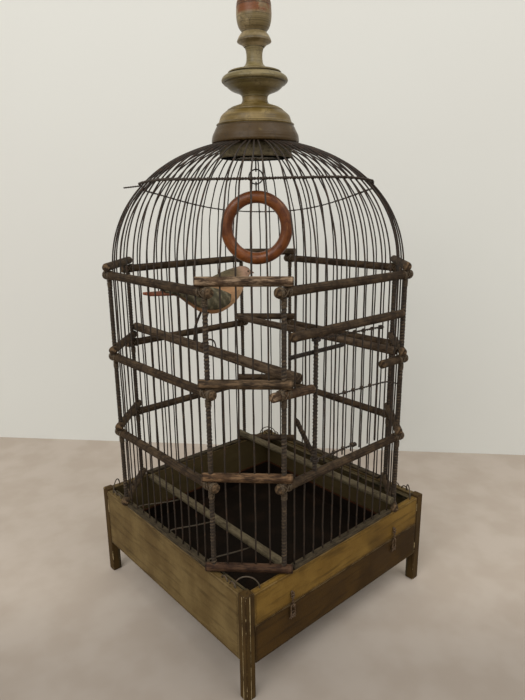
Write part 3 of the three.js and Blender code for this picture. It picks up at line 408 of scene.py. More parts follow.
def board(low: Sequence[float], high: Sequence[float], bevel: float = 0.8, step: float = 4.0) -> Shell:
    """A board with eased edges: points of a box drawn in by the bevel and pushed back out along a ball.

    Args:
        low: Lowest corner in millimetres.
        high: Highest corner in millimetres.
        bevel: Radius of the edges.
        step: Spacing of the points on the faces.

    Returns:
        One closed shell whose wear is 1 at the edges and falls to 0 some millimetres in.
    """
    lo, hi = np.array(low, dtype=float), np.array(high, dtype=float)
    faces, points = [], []
    start = 0
    ease = bevel * (1 - np.cos(np.linspace(0, np.pi / 2, 4)))
    for axis in range(3):
        others = [(axis + 1) % 3, (axis + 2) % 3]
        rows = []
        for other in others:
            count = max(2, int(np.ceil((hi[other] - lo[other] - 2 * bevel) / step)) + 1)
            inner = np.linspace(lo[other] + bevel, hi[other] - bevel, count)
            rows.append(np.concatenate([lo[other] + ease[:-1], inner, (hi[other] - ease[:-1])[::-1]]))
        u, v = np.meshgrid(*rows, indexing="ij")
        for end, value in ((0, lo[axis]), (1, hi[axis])):
            face = np.empty(u.shape + (3,))
            face[..., axis], face[..., others[0]], face[..., others[1]] = value, u, v
            index = start + np.arange(u.size).reshape(u.shape)
            corners = [index[:-1, :-1], index[1:, :-1], index[1:, 1:], index[:-1, 1:]]
            quad = np.stack(corners, -1).reshape(-1, 4)
            faces.append(quad if end else quad[:, ::-1])
            points.append(face.reshape(-1, 3))
            start += u.size
    flat = np.vstack(points)
    core = np.clip(flat, lo + bevel, hi - bevel)
    eased = core + unit(flat - core) * bevel
    to_sides = np.sort(np.minimum(flat - lo, hi - flat), axis=1)[:, 1]
    return Shell(eased, np.vstack(faces), eased.copy(), np.exp(-to_sides / EDGE_WEAR))


def ring_path(centre: Sequence[float], radius: float, axis: Sequence[float], count: int = 28) -> Array:
    """Points of a circle round an axis."""
    axis_unit = unit(np.array(axis, dtype=float))
    first = unit(np.cross(axis_unit, [0.31, 0.52, 0.8]))
    second = np.cross(axis_unit, first)
    t = np.linspace(0, 2 * np.pi, count, endpoint=False)[:, None]
    return np.array(centre, dtype=float) + radius * (np.cos(t) * first + np.sin(t) * second)


def twisted_pair(path: Array, normal: Any, offset: Any, pitch: float) -> Array:
    """The paths of two wires twisted together: each winds round the path half a turn from the other.

    Args:
        path: The rope's own path, (n, 3), densely sampled.
        normal: A direction that the path doesn't run along.
        offset: Distance of each wire's axis from the path, a number or one row for each point.
        pitch: Length of one full turn.

    Returns:
        Paths of shape (2, n, 3).
    """
    along = unit(np.gradient(path, axis=0))
    lean = np.asarray(normal, dtype=float) - (along @ np.asarray(normal, dtype=float))[:, None] * along
    lean = unit(lean)
    across = np.cross(along, lean)
    run = np.append(0, np.cumsum(np.linalg.norm(np.diff(path, axis=0), axis=1)))
    turn = 2 * np.pi * run / pitch
    swing = offset * (np.cos(turn)[:, None] * lean + np.sin(turn)[:, None] * across)
    return np.stack([path + swing, path - swing])


def coil_path(start: Array, along: Array, normal: Array, radius: float, pitch: float, turns: float) -> Array:
    """A helix that winds round a straight line.

    Args:
        start: A point of the line.
        along: The line's direction.
        normal: The direction from the line to the helix's first point.
        radius: The helix's radius.
        pitch: Length of one full turn.
        turns: How many turns it has.

    Returns:
        The helix's points, 12 for each turn.
    """
    t = np.linspace(0, 2 * np.pi * turns, int(12 * turns))[:, None]
    across = np.cross(along, normal)
    return start + along * pitch * t / (2 * np.pi) + radius * (np.cos(t) * normal + np.sin(t) * across)


# ------------------------------------------------------------------------------------------ finishes


def colour(red: float, green: float, blue: float) -> Colour:
    """A linear colour from its red, green and blue as seen, each from 0 to 255."""
    value = np.array([red, green, blue]) / 255
    linear = np.where(value <= 0.04045, value / 12.92, ((value + 0.055) / 1.055) ** 2.4)
    return (float(linear[0]), float(linear[1]), float(linear[2]), 1.0)


class Tree:
    """A material's node tree, with short calls for the nodes that the finishes share."""

    def __init__(self, name: str, roughness: float, metallic: float = 0.0, specular: float = 0.3) -> None:
        """Makes the material.

        Args:
            name: The material's name.
            roughness: The shader's roughness, where nothing is linked to it.
            metallic: The shader's metalness.
            specular: How much a smooth spot reflects.
        """
        self.material = bpy.data.materials.new(name)
        self.material.use_nodes = True
        self.nodes = self.material.node_tree.nodes
        self.links = self.material.node_tree.links
        self.shader = self.nodes["Principled BSDF"]
        self.shader.inputs["Roughness"].default_value = roughness
        self.shader.inputs["Metallic"].default_value = metallic
        self.shader.inputs["Specular IOR Level"].default_value = specular

    def add(self, kind: str, inputs: dict[Any, Any], **settings: Any) -> Any:
        """Adds a node.

        Args:
            kind: The node's type.
            inputs: Values or sockets for its inputs, by name or number.
            settings: The node's own settings.

        Returns:
            The node.
        """
        node = self.nodes.new(kind)
        for key, value in settings.items():
            setattr(node, key, value)
        for key, value in inputs.items():
            if isinstance(value, bpy.types.NodeSocket):
                self.links.new(value, node.inputs[key])
            else:
                node.inputs[key].default_value = value
        return node

    def place(self) -> Any:
        """The point's own place, in metres."""
        return self.add("ShaderNodeTexCoord", {}).outputs["Object"]

    def grain(self) -> Any:
        """The place that follows the surface, in metres: along, and two across."""
        return self.add("ShaderNodeAttribute", {}, attribute_name="grain").outputs["Vector"]

    def wear(self) -> Any:
        """How worn the surface is."""
        return self.add("ShaderNodeAttribute", {}, attribute_name="wear").outputs["Fac"]

    def stretched(self, vector: Any, x: float, y: float, z: float) -> Any:
        """The place scaled along each axis."""
        return self.add("ShaderNodeMapping", {"Vector": vector, "Scale": (x, y, z)}).outputs[0]

    def noise(self, vector: Any, scale: float, detail: float = 4, roughness: float = 0.55) -> Any:
        """Cloudy noise from 0 to 1, with features of about 1 / scale metres."""
        inputs = {"Vector": vector, "Scale": scale, "Detail": detail, "Roughness": roughness}
        return self.add("ShaderNodeTexNoise", inputs).outputs[0]

    def cracks(self, vector: Any, scale: float) -> Any:
        """Distance to the nearest crack of a crackle pattern."""
        inputs = {"Vector": vector, "Scale": scale}
        return self.add("ShaderNodeTexVoronoi", inputs, feature="DISTANCE_TO_EDGE").outputs["Distance"]

    def steps(self, value: Any, low: float, high: float, first: float = 0.0, last: float = 1.0) -> Any:
        """A value mapped smoothly from one range to another and kept within it."""
        inputs = {0: value, 1: low, 2: high, 3: first, 4: last}
        return self.add("ShaderNodeMapRange", inputs, interpolation_type="SMOOTHSTEP").outputs[0]

    def maths(self, operation: str, a: Any, b: Any = 0.0) -> Any:
        """One arithmetic step."""
        return self.add("ShaderNodeMath", {0: a, 1: b}, operation=operation).outputs[0]

    def mix(self, share: Any, a: Any, b: Any) -> Any:
        """Two colours mixed by a share."""
        return self.add("ShaderNodeMix", {0: share, 6: a, 7: b}, data_type="RGBA").outputs[2]

    def height(self, z_low: float, z_high: float) -> Any:
        """0 at one height and 1 at another, in metres."""
        z = self.add("ShaderNodeSeparateXYZ", {0: self.place()}).outputs[2]
        return self.steps(z, z_low, z_high)

    def within(self, outer: float, inner: float) -> Any:
        """0 outside a square tube round the cage's axis and 0.8 inside it, between two reaches in metres."""
        split = self.add("ShaderNodeSeparateXYZ", {0: self.place()}).outputs
        reach = self.maths("MAXIMUM", self.maths("ABSOLUTE", split[0]), self.maths("ABSOLUTE", split[1]))
        return self.steps(reach, outer, inner, 0, 0.8)

    def along(self, x: float, y: float, start: float, end: float) -> Any:
        """0 to 1 between two distances in metres along a level direction."""
        inputs = {0: self.place(), 1: (x, y, 0.0)}
        reach = self.add("ShaderNodeVectorMath", inputs, operation="DOT_PRODUCT").outputs["Value"]
        return self.steps(reach, start, end)

    def finish(self, base: Any, bump: Any, depth: float, rough: Any = None) -> bpy.types.Material:
        """Links the colour, the bumps and the roughness to the shader.

        Args:
            base: The colour.
            bump: The height field of the bumps, from 0 to 1.
            depth: Depth of the bumps in metres.
            rough: The roughness, where it varies.

        Returns:
            The finished material.
        """
        node = self.add("ShaderNodeBump", {"Height": bump, "Distance": depth, "Strength": 1.0})
        self.links.new(node.outputs[0], self.shader.inputs["Normal"])
        self.links.new(base, self.shader.inputs["Base Color"])
        if rough is not None:
            self.links.new(rough, self.shader.inputs["Roughness"])
        return self.material

    def clear_back(self) -> None:
        """Makes the surface see-through from its back."""
        back = self.add("ShaderNodeNewGeometry", {}).outputs["Backfacing"]
        clear = self.add("ShaderNodeBsdfTransparent", {}).outputs[0]
        mixed = self.add("ShaderNodeMixShader", {0: back, 1: self.shader.outputs[0], 2: clear})
        end = next(node for node in self.material.node_tree.nodes if node.type == "OUTPUT_MATERIAL")
        self.links.new(mixed.outputs[0], end.inputs["Surface"])


@dataclass(frozen=True)
class BoardPaint:
    """Old olive-brown paint on a board, streaked along its grain and rubbed through at the edges.

    Attributes:
        bare: The wood where the paint is rubbed through.
        inside: Painted shade on the faces that look into the base; on the ledge, which lies wholly inside,
            its own colour.
        rubbed: How much of the bare wood shows.
        streak: How fine the streaks are along the three directions of the grain.
        inner_shade_from: The two reaches in metres between which the inside colour, the painted shade, sets
            in.
    """

    name: str
    base: Colour = colour(88, 70, 39)
    light: Colour = colour(110, 92, 58)
    dark: Colour = colour(56, 42, 20)
    bare: Colour = colour(130, 110, 76)
    # The inside colour is painted shade on the faces that look into the base.
    inside: Colour = colour(58, 49, 29)
    rubbed: float = 0.35
    streak: tuple[float, float, float] = (16.0, 300.0, 150.0)
    inner_shade_from: tuple[float, float] = (0.1421, 0.1417)
    slot: str = "board_paint"

    def build(self) -> bpy.types.Material:
        """Makes the material."""
        tree = Tree(self.name, 0.7, specular=0.12)
        place = tree.place()
        clouds = tree.noise(place, 20, 5, 0.6)
        streaks = tree.noise(tree.stretched(tree.grain(), *self.streak), 1.0, 6, 0.6)
        fine = tree.noise(place, 480, 4, 0.7)
        base = tree.mix(tree.steps(clouds, 0.36, 0.66), self.base, self.light)
        base = tree.mix(tree.steps(streaks, 0.5, 0.72, 0, 0.6), base, self.dark)
        base = tree.mix(tree.steps(streaks, 0.42, 0.3, 0, 0.4), base, self.light)
        base = tree.mix(tree.steps(fine, 0.62, 0.74, 0, 0.4), base, self.dark)
        stains = tree.noise(place, 9, 3, 0.6)
        base = tree.mix(tree.steps(stains, 0.54, 0.68, 0, 0.55), base, self.dark)
        # Painted shade: the faces that look into the base take the darker inside colour.
        base = tree.mix(tree.within(*self.inner_shade_from), base, self.inside)
        ragged = tree.steps(tree.noise(place, 55, 5, 0.7), 0.3, 0.7, -0.35, 0.25)
        edge = tree.steps(tree.maths("ADD", tree.wear(), ragged), 0.62, 0.78, 0, self.rubbed)
        base = tree.mix(edge, base, self.bare)
        grimy = tree.maths("ADD", tree.wear(), tree.steps(fine, 0.3, 0.7, -0.2, 0.2))
        rim = tree.maths("MULTIPLY", tree.steps(grimy, 0.2, 0.55, 0, 0.5), tree.maths("SUBTRACT", 1.0, edge))
        base = tree.mix(rim, base, self.dark)
        bump = tree.maths("ADD", tree.maths("MULTIPLY", streaks, 0.6), tree.maths("MULTIPLY", fine, 0.4))
        rough = tree.steps(clouds, 0.3, 0.7, 0.56, 0.78)
        return tree.finish(base, bump, 0.0005, rough)


@dataclass(frozen=True)
class TurnedPaint:
    """Khaki paint on a turned piece, finely crackled, with darker lines left in the grooves.

    Attributes:
        patch: The colour of a band where another paint or the wood shows.
        patch_band: Where that band begins and ends, in metres over the floor; over the cage, there is none.
        cover: How much of the band is covered by the patch's colour.
    """

    name: str
    base: Colour = colour(84, 72, 42)
    light: Colour = colour(126, 110, 76)
    dark: Colour = colour(38, 28, 12)
    patch: Colour = colour(128, 76, 38)
    patch_band: tuple[float, float] = (9.0, 9.0)
    cover: float = 0.5
    slot: str = "turned_paint"

    def build(self) -> bpy.types.Material:
        """Makes the material."""
        tree = Tree(self.name, 0.45, specular=0.28)
        place = tree.place()
        clouds = tree.noise(place, 45, 5, 0.6)
        rings = tree.noise(tree.stretched(place, 14, 14, 900), 1.0, 5, 0.6)
        cracks = tree.cracks(place, 210)
        base = tree.mix(tree.steps(clouds, 0.4, 0.62), self.base, self.light)
        base = tree.mix(tree.steps(rings, 0.52, 0.68, 0, 0.55), base, self.dark)
        base = tree.mix(tree.steps(rings, 0.44, 0.32, 0, 0.45), base, self.light)
        low = tree.height(self.patch_band[0], self.patch_band[0] + 0.004)
        high = tree.height(self.patch_band[1], self.patch_band[1] - 0.002)
        edge = 0.62 - self.cover * 0.4
        spots = tree.steps(tree.noise(place, 60, 4, 0.6), edge, edge + 0.16)
        base = tree.mix(tree.maths("MULTIPLY", tree.maths("MULTIPLY", low, high), spots), base, self.patch)
        base = tree.mix(tree.maths("MULTIPLY", tree.wear(), 0.85), base, self.dark)
        lines = tree.steps(cracks, 0.0, 0.07, 1, 0)
        shown = tree.maths("MULTIPLY", lines, tree.steps(tree.noise(place, 90, 2), 0.45, 0.6, 0, 0.5))
        base = tree.mix(shown, base, self.dark)
        bump = tree.maths("SUBTRACT", tree.maths("MULTIPLY", rings, 0.7), tree.maths("MULTIPLY", shown, 0.4))
        rough = tree.steps(clouds, 0.3, 0.7, 0.3, 0.52)
        return tree.finish(base, bump, 0.0004, rough)


@dataclass(frozen=True)
class DowelWood:
    """A weathered dowel: fibres along it, grime in patches, and rubbed places where its wear says so."""

    name: str
    base: Colour = colour(43, 32, 21)
    light: Colour = colour(72, 57, 40)
    dark: Colour = colour(20, 14, 8)
    rubbed: Colour = colour(112, 90, 66)
    slot: str = "dowel_wood"

    def build(self) -> bpy.types.Material:
        """Makes the material."""
        tree = Tree(self.name, 0.72, specular=0.14)
        grain = tree.grain()
        fibres = tree.noise(tree.stretched(grain, 34, 620, 620), 1.0, 6, 0.65)
        clouds = tree.noise(grain, 85, 5, 0.65)
        fine = tree.noise(grain, 900, 3, 0.6)
        base = tree.mix(tree.steps(clouds, 0.38, 0.64), self.base, self.light)
        base = tree.mix(tree.steps(fibres, 0.48, 0.66, 0, 0.8), base, self.dark)
        base = tree.mix(tree.steps(fine, 0.6, 0.75, 0, 0.5), base, self.dark)
        streaks = tree.noise(tree.stretched(grain, 60, 320, 320), 1.0, 5, 0.7)
        # Rubbed places: worn wood; on the tan rails the bright rubbed colour also gives painted highlights.
        worn = tree.maths("MULTIPLY", tree.wear(), tree.steps(streaks, 0.46, 0.6))
        base = tree.mix(worn, base, self.rubbed)
        ends = tree.maths("MULTIPLY", tree.steps(tree.wear(), 0.8, 0.95), 0.6)
        base = tree.mix(ends, base, self.dark)
        bump = tree.maths("ADD", tree.maths("MULTIPLY", fibres, 0.7), tree.maths("MULTIPLY", clouds, 0.3))
        return tree.finish(base, bump, 0.0008)


@dataclass(frozen=True)
class OldIron:
    """Dark iron wire under rust and old paint, speckled where it has flaked.

    Attributes:
        pale: The old paint and the bright metal in the speckles; on the hinges, painted highlights as well.
        soot: The grime between the turns of a wrapping.
        ridges: Radii in metres of the grooves and the ridges of a wrapping, where the bar has one.
    """

    name: str
    base: Colour = colour(40, 32, 24)
    rust: Colour = colour(74, 50, 32)
    pale: Colour = colour(104, 90, 70)
    metallic: float = 0.2
    flaked: float = 0.4
    roughness: float = 0.6
    soot: Colour = colour(18, 13, 9)
    ridges: Optional[tuple[float, float]] = None
    slot: str = "old_iron"

    def build(self) -> bpy.types.Material:
        """Makes the material."""
        tree = Tree(self.name, self.roughness, self.metallic, 0.35)
        grain = tree.grain()
        clouds = tree.noise(grain, 140, 5, 0.7)
        fine = tree.noise(tree.place(), 1300, 4, 0.7)
        base = tree.mix(tree.steps(clouds, 0.48, 0.7, 0, 0.8), self.base, self.rust)
        base = tree.mix(tree.steps(fine, 0.60, 0.74, 0, self.flaked), base, self.pale)
        # Pale flecks where the wear is high: rubbed metal, and on the hinges also painted highlights.
        worn = tree.maths("MULTIPLY", tree.wear(), tree.steps(fine, 0.42, 0.6))
        base = tree.mix(worn, base, self.pale)
        if self.ridges is not None:
            groove, ridge = self.ridges
            across = tree.stretched(grain, 0.0, 1.0, 1.0)
            radius = tree.add("ShaderNodeVectorMath", {0: across}, operation="LENGTH").outputs["Value"]
            base = tree.mix(tree.steps(radius, ridge, groove, 0, 0.6), base, self.soot)
            flecks = tree.steps(clouds, 0.46, 0.62, 0, 0.75)
            high = tree.maths("MULTIPLY", tree.steps(radius, groove, ridge), flecks)
            base = tree.mix(high, base, self.pale)
        bump = tree.maths("ADD", tree.maths("MULTIPLY", clouds, 0.5), tree.maths("MULTIPLY", fine, 0.5))
        return tree.finish(base, bump, 0.0004)


@dataclass(frozen=True)
class Varnish:
    """Orange-brown varnish over turned wood, darker where it is scuffed."""

    name: str
    base: Colour = colour(118, 66, 28)
    light: Colour = colour(142, 88, 44)
    dark: Colour = colour(78, 38, 13)
    scuff: Colour = colour(176, 132, 88)
    slot: str = "ring_wood"

    def build(self) -> bpy.types.Material:
        """Makes the material."""
        tree = Tree(self.name, 0.36, specular=0.3)
        grain = tree.grain()
        fibres = tree.noise(tree.stretched(grain, 22, 260, 260), 1.0, 5, 0.6)
        clouds = tree.noise(tree.place(), 70, 4, 0.6)
        scuffs = tree.noise(tree.stretched(grain, 60, 500, 500), 1.0, 3, 0.5)
        base = tree.mix(tree.steps(clouds, 0.4, 0.65), self.base, self.dark)
        base = tree.mix(tree.steps(fibres, 0.5, 0.7, 0, 0.6), base, self.light)
        base = tree.mix(tree.steps(scuffs, 0.64, 0.72, 0, 0.45), base, self.scuff)
        base = tree.mix(tree.maths("MULTIPLY", tree.wear(), 0.8), base, self.dark)
        rough = tree.steps(clouds, 0.3, 0.7, 0.26, 0.46)
        return tree.finish(base, fibres, 0.0002, rough)


@dataclass(frozen=True)
class SheetIron:
    """Stained sheet iron, nearly black inside, with rust along its edges.

    Attributes:
        rim: The two heights in metres between which the rust of the upper edge sets in.
    """

    name: str
    base: Colour = colour(15, 9, 4)
    light: Colour = colour(25, 16, 8)
    rust: Colour = colour(60, 34, 18)
    rim: tuple[float, float] = (0.0715, 0.0738)
    slot: str = "tray_iron"

    def build(self) -> bpy.types.Material:
        """Makes the material."""
        tree = Tree(self.name, 0.85, specular=0.08)
        place = tree.place()
        stains = tree.noise(place, 26, 6, 0.65)
        fine = tree.noise(place, 400, 4, 0.7)
        base = tree.mix(tree.steps(stains, 0.45, 0.65), self.base, self.light)
        base = tree.mix(tree.steps(fine, 0.6, 0.75, 0, 0.4), base, self.rust)
        edge = tree.maths("MULTIPLY", tree.height(*self.rim), tree.steps(stains, 0.3, 0.5, 0.4, 1))
        base = tree.mix(edge, base, self.rust)
        return tree.finish(base, fine, 0.0003)


@dataclass(frozen=True)
class PaintedFeathers:
    """The toy bird's colours, carried at each point of its mesh, under fine feather lines."""

    name: str
    line: Colour = colour(52, 44, 31)
    down: Colour = colour(150, 128, 94)
    slot: str = "bird_paint"

    def build(self) -> bpy.types.Material:
        """Makes the material."""
        tree = Tree(self.name, 0.7, specular=0.2)
        tint = tree.add("ShaderNodeAttribute", {}, attribute_name="tint").outputs["Color"]
        barbs = tree.noise(tree.stretched(tree.grain(), 90, 420, 420), 1.0, 4, 0.6)
        down = tree.noise(tree.place(), 240, 4, 0.6)
        base = tree.mix(tree.steps(barbs, 0.5, 0.66, 0, 0.4), tint, self.line)
        base = tree.mix(tree.steps(down, 0.5, 0.7, 0, 0.25), base, self.down)
        bump = tree.maths("ADD", tree.maths("MULTIPLY", barbs, 0.6), tree.maths("MULTIPLY", down, 0.4))
        return tree.finish(base, bump, 0.0006)


@dataclass(frozen=True)
class PlainSurface:
    """A plain matt surface for what stands round the cage.

    Attributes:
        second: The tone of its faint clouds.
        scale: How fine the clouds are.
        shade: How much painted shade darkens it along the shade's run.
        shade_run: A level direction, and the two distances along it between which the shade sets in.
        one_sided: Whether it is see-through from its back.
    """

    name: str
    tone: Colour
    second: Colour
    scale: float
    shade: float = 0.0
    shade_run: tuple[float, float, float, float] = (-0.66, -0.75, 0.0, 0.2)
    one_sided: bool = False

    def build(self) -> bpy.types.Material:
        """Makes the material."""
        tree = Tree(self.name, 0.9)
        clouds = tree.noise(tree.place(), self.scale, 3, 0.5)
        base = tree.mix(tree.steps(clouds, 0.35, 0.65), self.tone, self.second)
        # Painted shade: the floor gets darker nearer the camera, where less light reaches it.
        painted_shade = tree.maths("MULTIPLY", tree.along(*self.shade_run), self.shade)
        base = tree.mix(painted_shade, base, colour(0, 0, 0))
        made = tree.finish(base, clouds, 0.0001)
        if self.one_sided:
            tree.clear_back()
        return made


class Paint(Enum):
    """Every finish of the cage."""

    SIDE_BOARD = BoardPaint("side_board_paint")
    FRONT_BOARD = BoardPaint(
        "front_board_paint", colour(101, 75, 29), colour(119, 92, 42), colour(58, 41, 14)
    )
    FLAP = BoardPaint("flap_paint", colour(56, 38, 12), colour(68, 48, 18), colour(34, 22, 7))
    POST = BoardPaint(
        "post_paint",
        colour(60, 44, 18),
        colour(74, 55, 25),
        colour(32, 19, 7),
        colour(172, 152, 112),
        rubbed=0.85,
        streak=(420.0, 420.0, 20.0),
    )
    LEDGE = BoardPaint(
        "ledge_paint", colour(64, 58, 38), colour(82, 76, 54), colour(34, 28, 17), inside=colour(66, 61, 44)
    )
    RUNNER = DowelWood("runner_wood", colour(86, 70, 46), colour(108, 90, 62), slot="pale_dowel")
    BELL = TurnedPaint(
        "bell_paint",
        colour(92, 74, 33),
        colour(126, 107, 66),
        patch=colour(62, 44, 13),
        patch_band=(0.553, 0.5755),
        cover=0.95,
    )
    DISC = TurnedPaint("disc_paint", colour(100, 88, 53), colour(126, 112, 78))
    URN = TurnedPaint(
        "urn_paint",
        colour(106, 91, 59),
        colour(152, 134, 100),
        patch=colour(108, 62, 28),
        patch_band=(0.684, 0.708),
        cover=0.6,
    )
    RAIL = DowelWood("rail_wood")
    # The tan rails' bright rubbed colour stands for worn wood and for painted highlights in its streaks.
    TAN_RAIL = DowelWood(
        "tan_rail_wood", colour(52, 38, 26), colour(88, 68, 49), colour(24, 15, 9), colour(156, 132, 106)
    )
    RUST_RAIL = DowelWood(
        "rust_rail_wood", colour(50, 34, 20), colour(80, 58, 38), colour(22, 14, 8), colour(124, 96, 68)
    )
    RED_RAIL = DowelWood(
        "red_rail_wood", colour(40, 24, 14), colour(62, 42, 27), colour(18, 10, 6), colour(80, 58, 40)
    )
    PERCH = DowelWood(
        "perch_wood", colour(50, 38, 27), colour(74, 59, 44), colour(25, 17, 11), colour(108, 91, 71)
    )
    PALE_PERCH = DowelWood(
        "pale_perch_wood",
        colour(70, 61, 44),
        colour(90, 80, 60),
        colour(40, 33, 22),
        colour(106, 95, 72),
        "pale_dowel",
    )
    SILL = DowelWood(
        "sill_wood",
        colour(44, 36, 24),
        colour(60, 51, 36),
        colour(24, 18, 11),
        colour(78, 67, 49),
        "pale_dowel",
    )
    PUCK = DowelWood(
        "puck_wood", colour(78, 69, 50), colour(100, 89, 66), colour(42, 34, 22), colour(112, 101, 78)
    )
    WIRE = OldIron("wire_iron")
    ROD = OldIron(
        "rod_iron",
        colour(50, 39, 27),
        colour(70, 49, 31),
        colour(90, 76, 56),
        metallic=0.1,
        roughness=0.7,
        ridges=(0.0023, 0.0027),
    )
    BINDING = OldIron(
        "binding_iron", colour(46, 36, 25), colour(64, 45, 29), colour(116, 98, 74), 0.2, 0.45, 0.55
    )
    # The hinges' pale flecks stand for worn metal and for painted highlights.
    HINGE = OldIron("hinge_iron", colour(42, 30, 18), colour(64, 40, 22), colour(120, 96, 72), 0.3, 0.4, 0.45)
    ARCH = OldIron("arch_iron", colour(70, 61, 48), colour(78, 56, 38), colour(132, 122, 102), 0.3, 0.6, 0.5)
    TRAY = SheetIron("tray_iron_sheet")
    RING = Varnish("ring_varnish")
    BIRD = PaintedFeathers("bird_feathers")

    @property
    def slot(self) -> str:
        """The record's material slot that the finish belongs to."""
        return self.value.slot

    def material(self) -> bpy.types.Material:
        """The material, made at its first use."""
        return bpy.data.materials.get(self.value.name) or self.value.build()


# ------------------------------------------------------------------------------------------ pieces


def mesh_object(name: str, shell: Shell, merge: bool) -> bpy.types.Object:
    """Turns a shell into a smooth Blender object at the origin, in metres.

    Args:
        name: The object's name.
        shell: The surface in millimetres.
        merge: Whether points that meet are merged.

    Returns:
        The object, linked to the scene.
    """
    points, faces = shell.points, shell.faces
    grain, wear = shell.grain, shell.wear
    if merge:
        _, first, inverse = np.unique(np.round(points, 3), axis=0, return_index=True, return_inverse=True)
        points, grain, wear = points[first], grain[first], wear[first]
        faces = inverse.reshape(-1)[faces]
    is_triangle = faces[:, 2] == faces[:, 3]
    totals = np.where(is_triangle, 3, 4).astype(np.int32)
    keep = np.ones(faces.shape, dtype=bool)
    keep[:, 3] = ~is_triangle
    mesh = bpy.data.meshes.new(name)
    mesh.vertices.add(len(points))
    mesh.vertices.foreach_set("co", (points * MM).astype(np.float32).ravel())
    mesh.loops.add(int(totals.sum()))
    mesh.loops.foreach_set("vertex_index", faces[keep].astype(np.int32))
    mesh.polygons.add(len(faces))
    mesh.polygons.foreach_set("loop_start", np.append(0, np.cumsum(totals)[:-1]).astype(np.int32))
    mesh.polygons.foreach_set("loop_total", totals)
    mesh.polygons.foreach_set("use_smooth", np.ones(len(faces), dtype=bool))
    mesh.update(calc_edges=True)
    carried = mesh.attributes.new("grain", "FLOAT_VECTOR", "POINT")
    carried.data.foreach_set("vector", (grain * MM).astype(np.float32).ravel())
    carried = mesh.attributes.new("wear", "FLOAT", "POINT")
    carried.data.foreach_set("value", wear.astype(np.float32))
    made = bpy.data.objects.new(name, mesh)
    bpy.context.scene.collection.objects.link(made)
    return made


def add_piece(
    name: str, shell: Shell, paint: Paint, nodes: Sequence[str], body: str = "cage", merge: bool = False
) -> bpy.types.Object:
    """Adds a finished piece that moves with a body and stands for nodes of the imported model.

    Args:
        name: The piece's name.
        shell: Its surface in millimetres.
        paint: Its finish.
        nodes: The nodes that it stands for.
        body: The body that it moves with.
        merge: Whether points that meet are merged.

    Returns:
        The piece.
    """
    piece = mesh_object(name, shell, merge)
    piece.data.materials.append(paint.material())
    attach(piece, body)
    paint.slot
    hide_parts(*nodes)
    LOG.info("%s: %d points", name, len(shell.points))
    return piece


def dress(frame: dict[str, Any], node: str, paint: Paint) -> None:
    """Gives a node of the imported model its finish."""
    made = frame["nodes"][node]
    made.data.materials.clear()
    made.data.materials.append(paint.material())


def rail(start: Sequence[float], end: Sequence[float], radius: float, seed: int, wear: float = 0.0) -> Shell:
    """A hand-cut dowel: a straight bar whose radius wanders a little and whose ends are rounded over.

    Args:
        start: One end in millimetres.
        end: The other end.
        radius: Its radius.
        seed: Chooses how it wanders.
        wear: How rubbed it is.

    Returns:
        The dowel.
    """
    start, end = np.array(start, dtype=float), np.array(end, dtype=float)
    length = np.linalg.norm(end - start)
    along = np.linspace(0, length, max(24, int(length / 4)))
    lip = np.array([0.0, 0.25, 0.7, END_ROUNDING])
    along = np.concatenate([lip, along[(along > 2) & (along < length - 2)], length - lip[::-1]])
    near = np.minimum(along, length - along)
    bulge = np.sqrt(np.clip(1 - (1 - near / END_ROUNDING) ** 2, 0, 1))
    round_over = np.where(near < END_ROUNDING, 0.80 + 0.20 * bulge, 1.0)
    size = radius * round_over * (1 + 0.018 * sway(along / 60, seed)[0])
    path = start + (end - start) * (along / length)[:, None]
    worn = np.clip(wear + END_WEAR * np.exp(-near / 3), 0, 1)

    def lumps(run: Array, angle: Array) -> Array:
        """Flats left by the knife, turning slowly along the dowel."""
        return 0.018 * np.cos(3 * angle + run / 45 + seed) + 0.010 * np.cos(7 * angle - run / 31)

    return tubes(path, size, np.cross(end - start, [0.2, 0.3, 1.0]), 20, wear=worn, lumps=lumps)


def wall_rail(half: float, y: float, z: float, seed: int, wear: float = 0.0) -> Shell:
    """A level dowel of a wall, in the wall's own frame, that reaches as far to both sides."""
    return rail((-half, y, z), (half, y, z), SIZES.rail_radius, seed, wear)


def straight_wires(
    places: Sequence[float], y: float, low: float, high: float, radius: float, seed: int, bend: float = 0.45
) -> Shell:
    """Upright wires of a wall, each slightly bent between its ends.

    Args:
        places: Where they stand along the wall.
        y: The wall's own depth.
        low: Height of their feet.
        high: Height of their tops.
        radius: Their radius.
        seed: Chooses the bends.
        bend: How far a wire strays, in millimetres.

    Returns:
        The wires in the wall's own frame.
    """
    t = np.linspace(0, 1, 26)
    slack = np.sin(np.pi * t) ** 0.5
    x = np.array(places, dtype=float)[:, None] + bend * sway(t * 1.6, seed, len(places)) * slack
    depth = y + 0.5 * bend * sway(t * 1.3, seed + 91, len(places)) * slack
    paths = np.stack([x, depth, np.broadcast_to(low + (high - low) * t, x.shape)], -1)
    size = radius * (1 + 0.05 * sway(t * 7, seed + 7, len(places)))
    return tubes(paths, size, [0, -1, 0], 8)


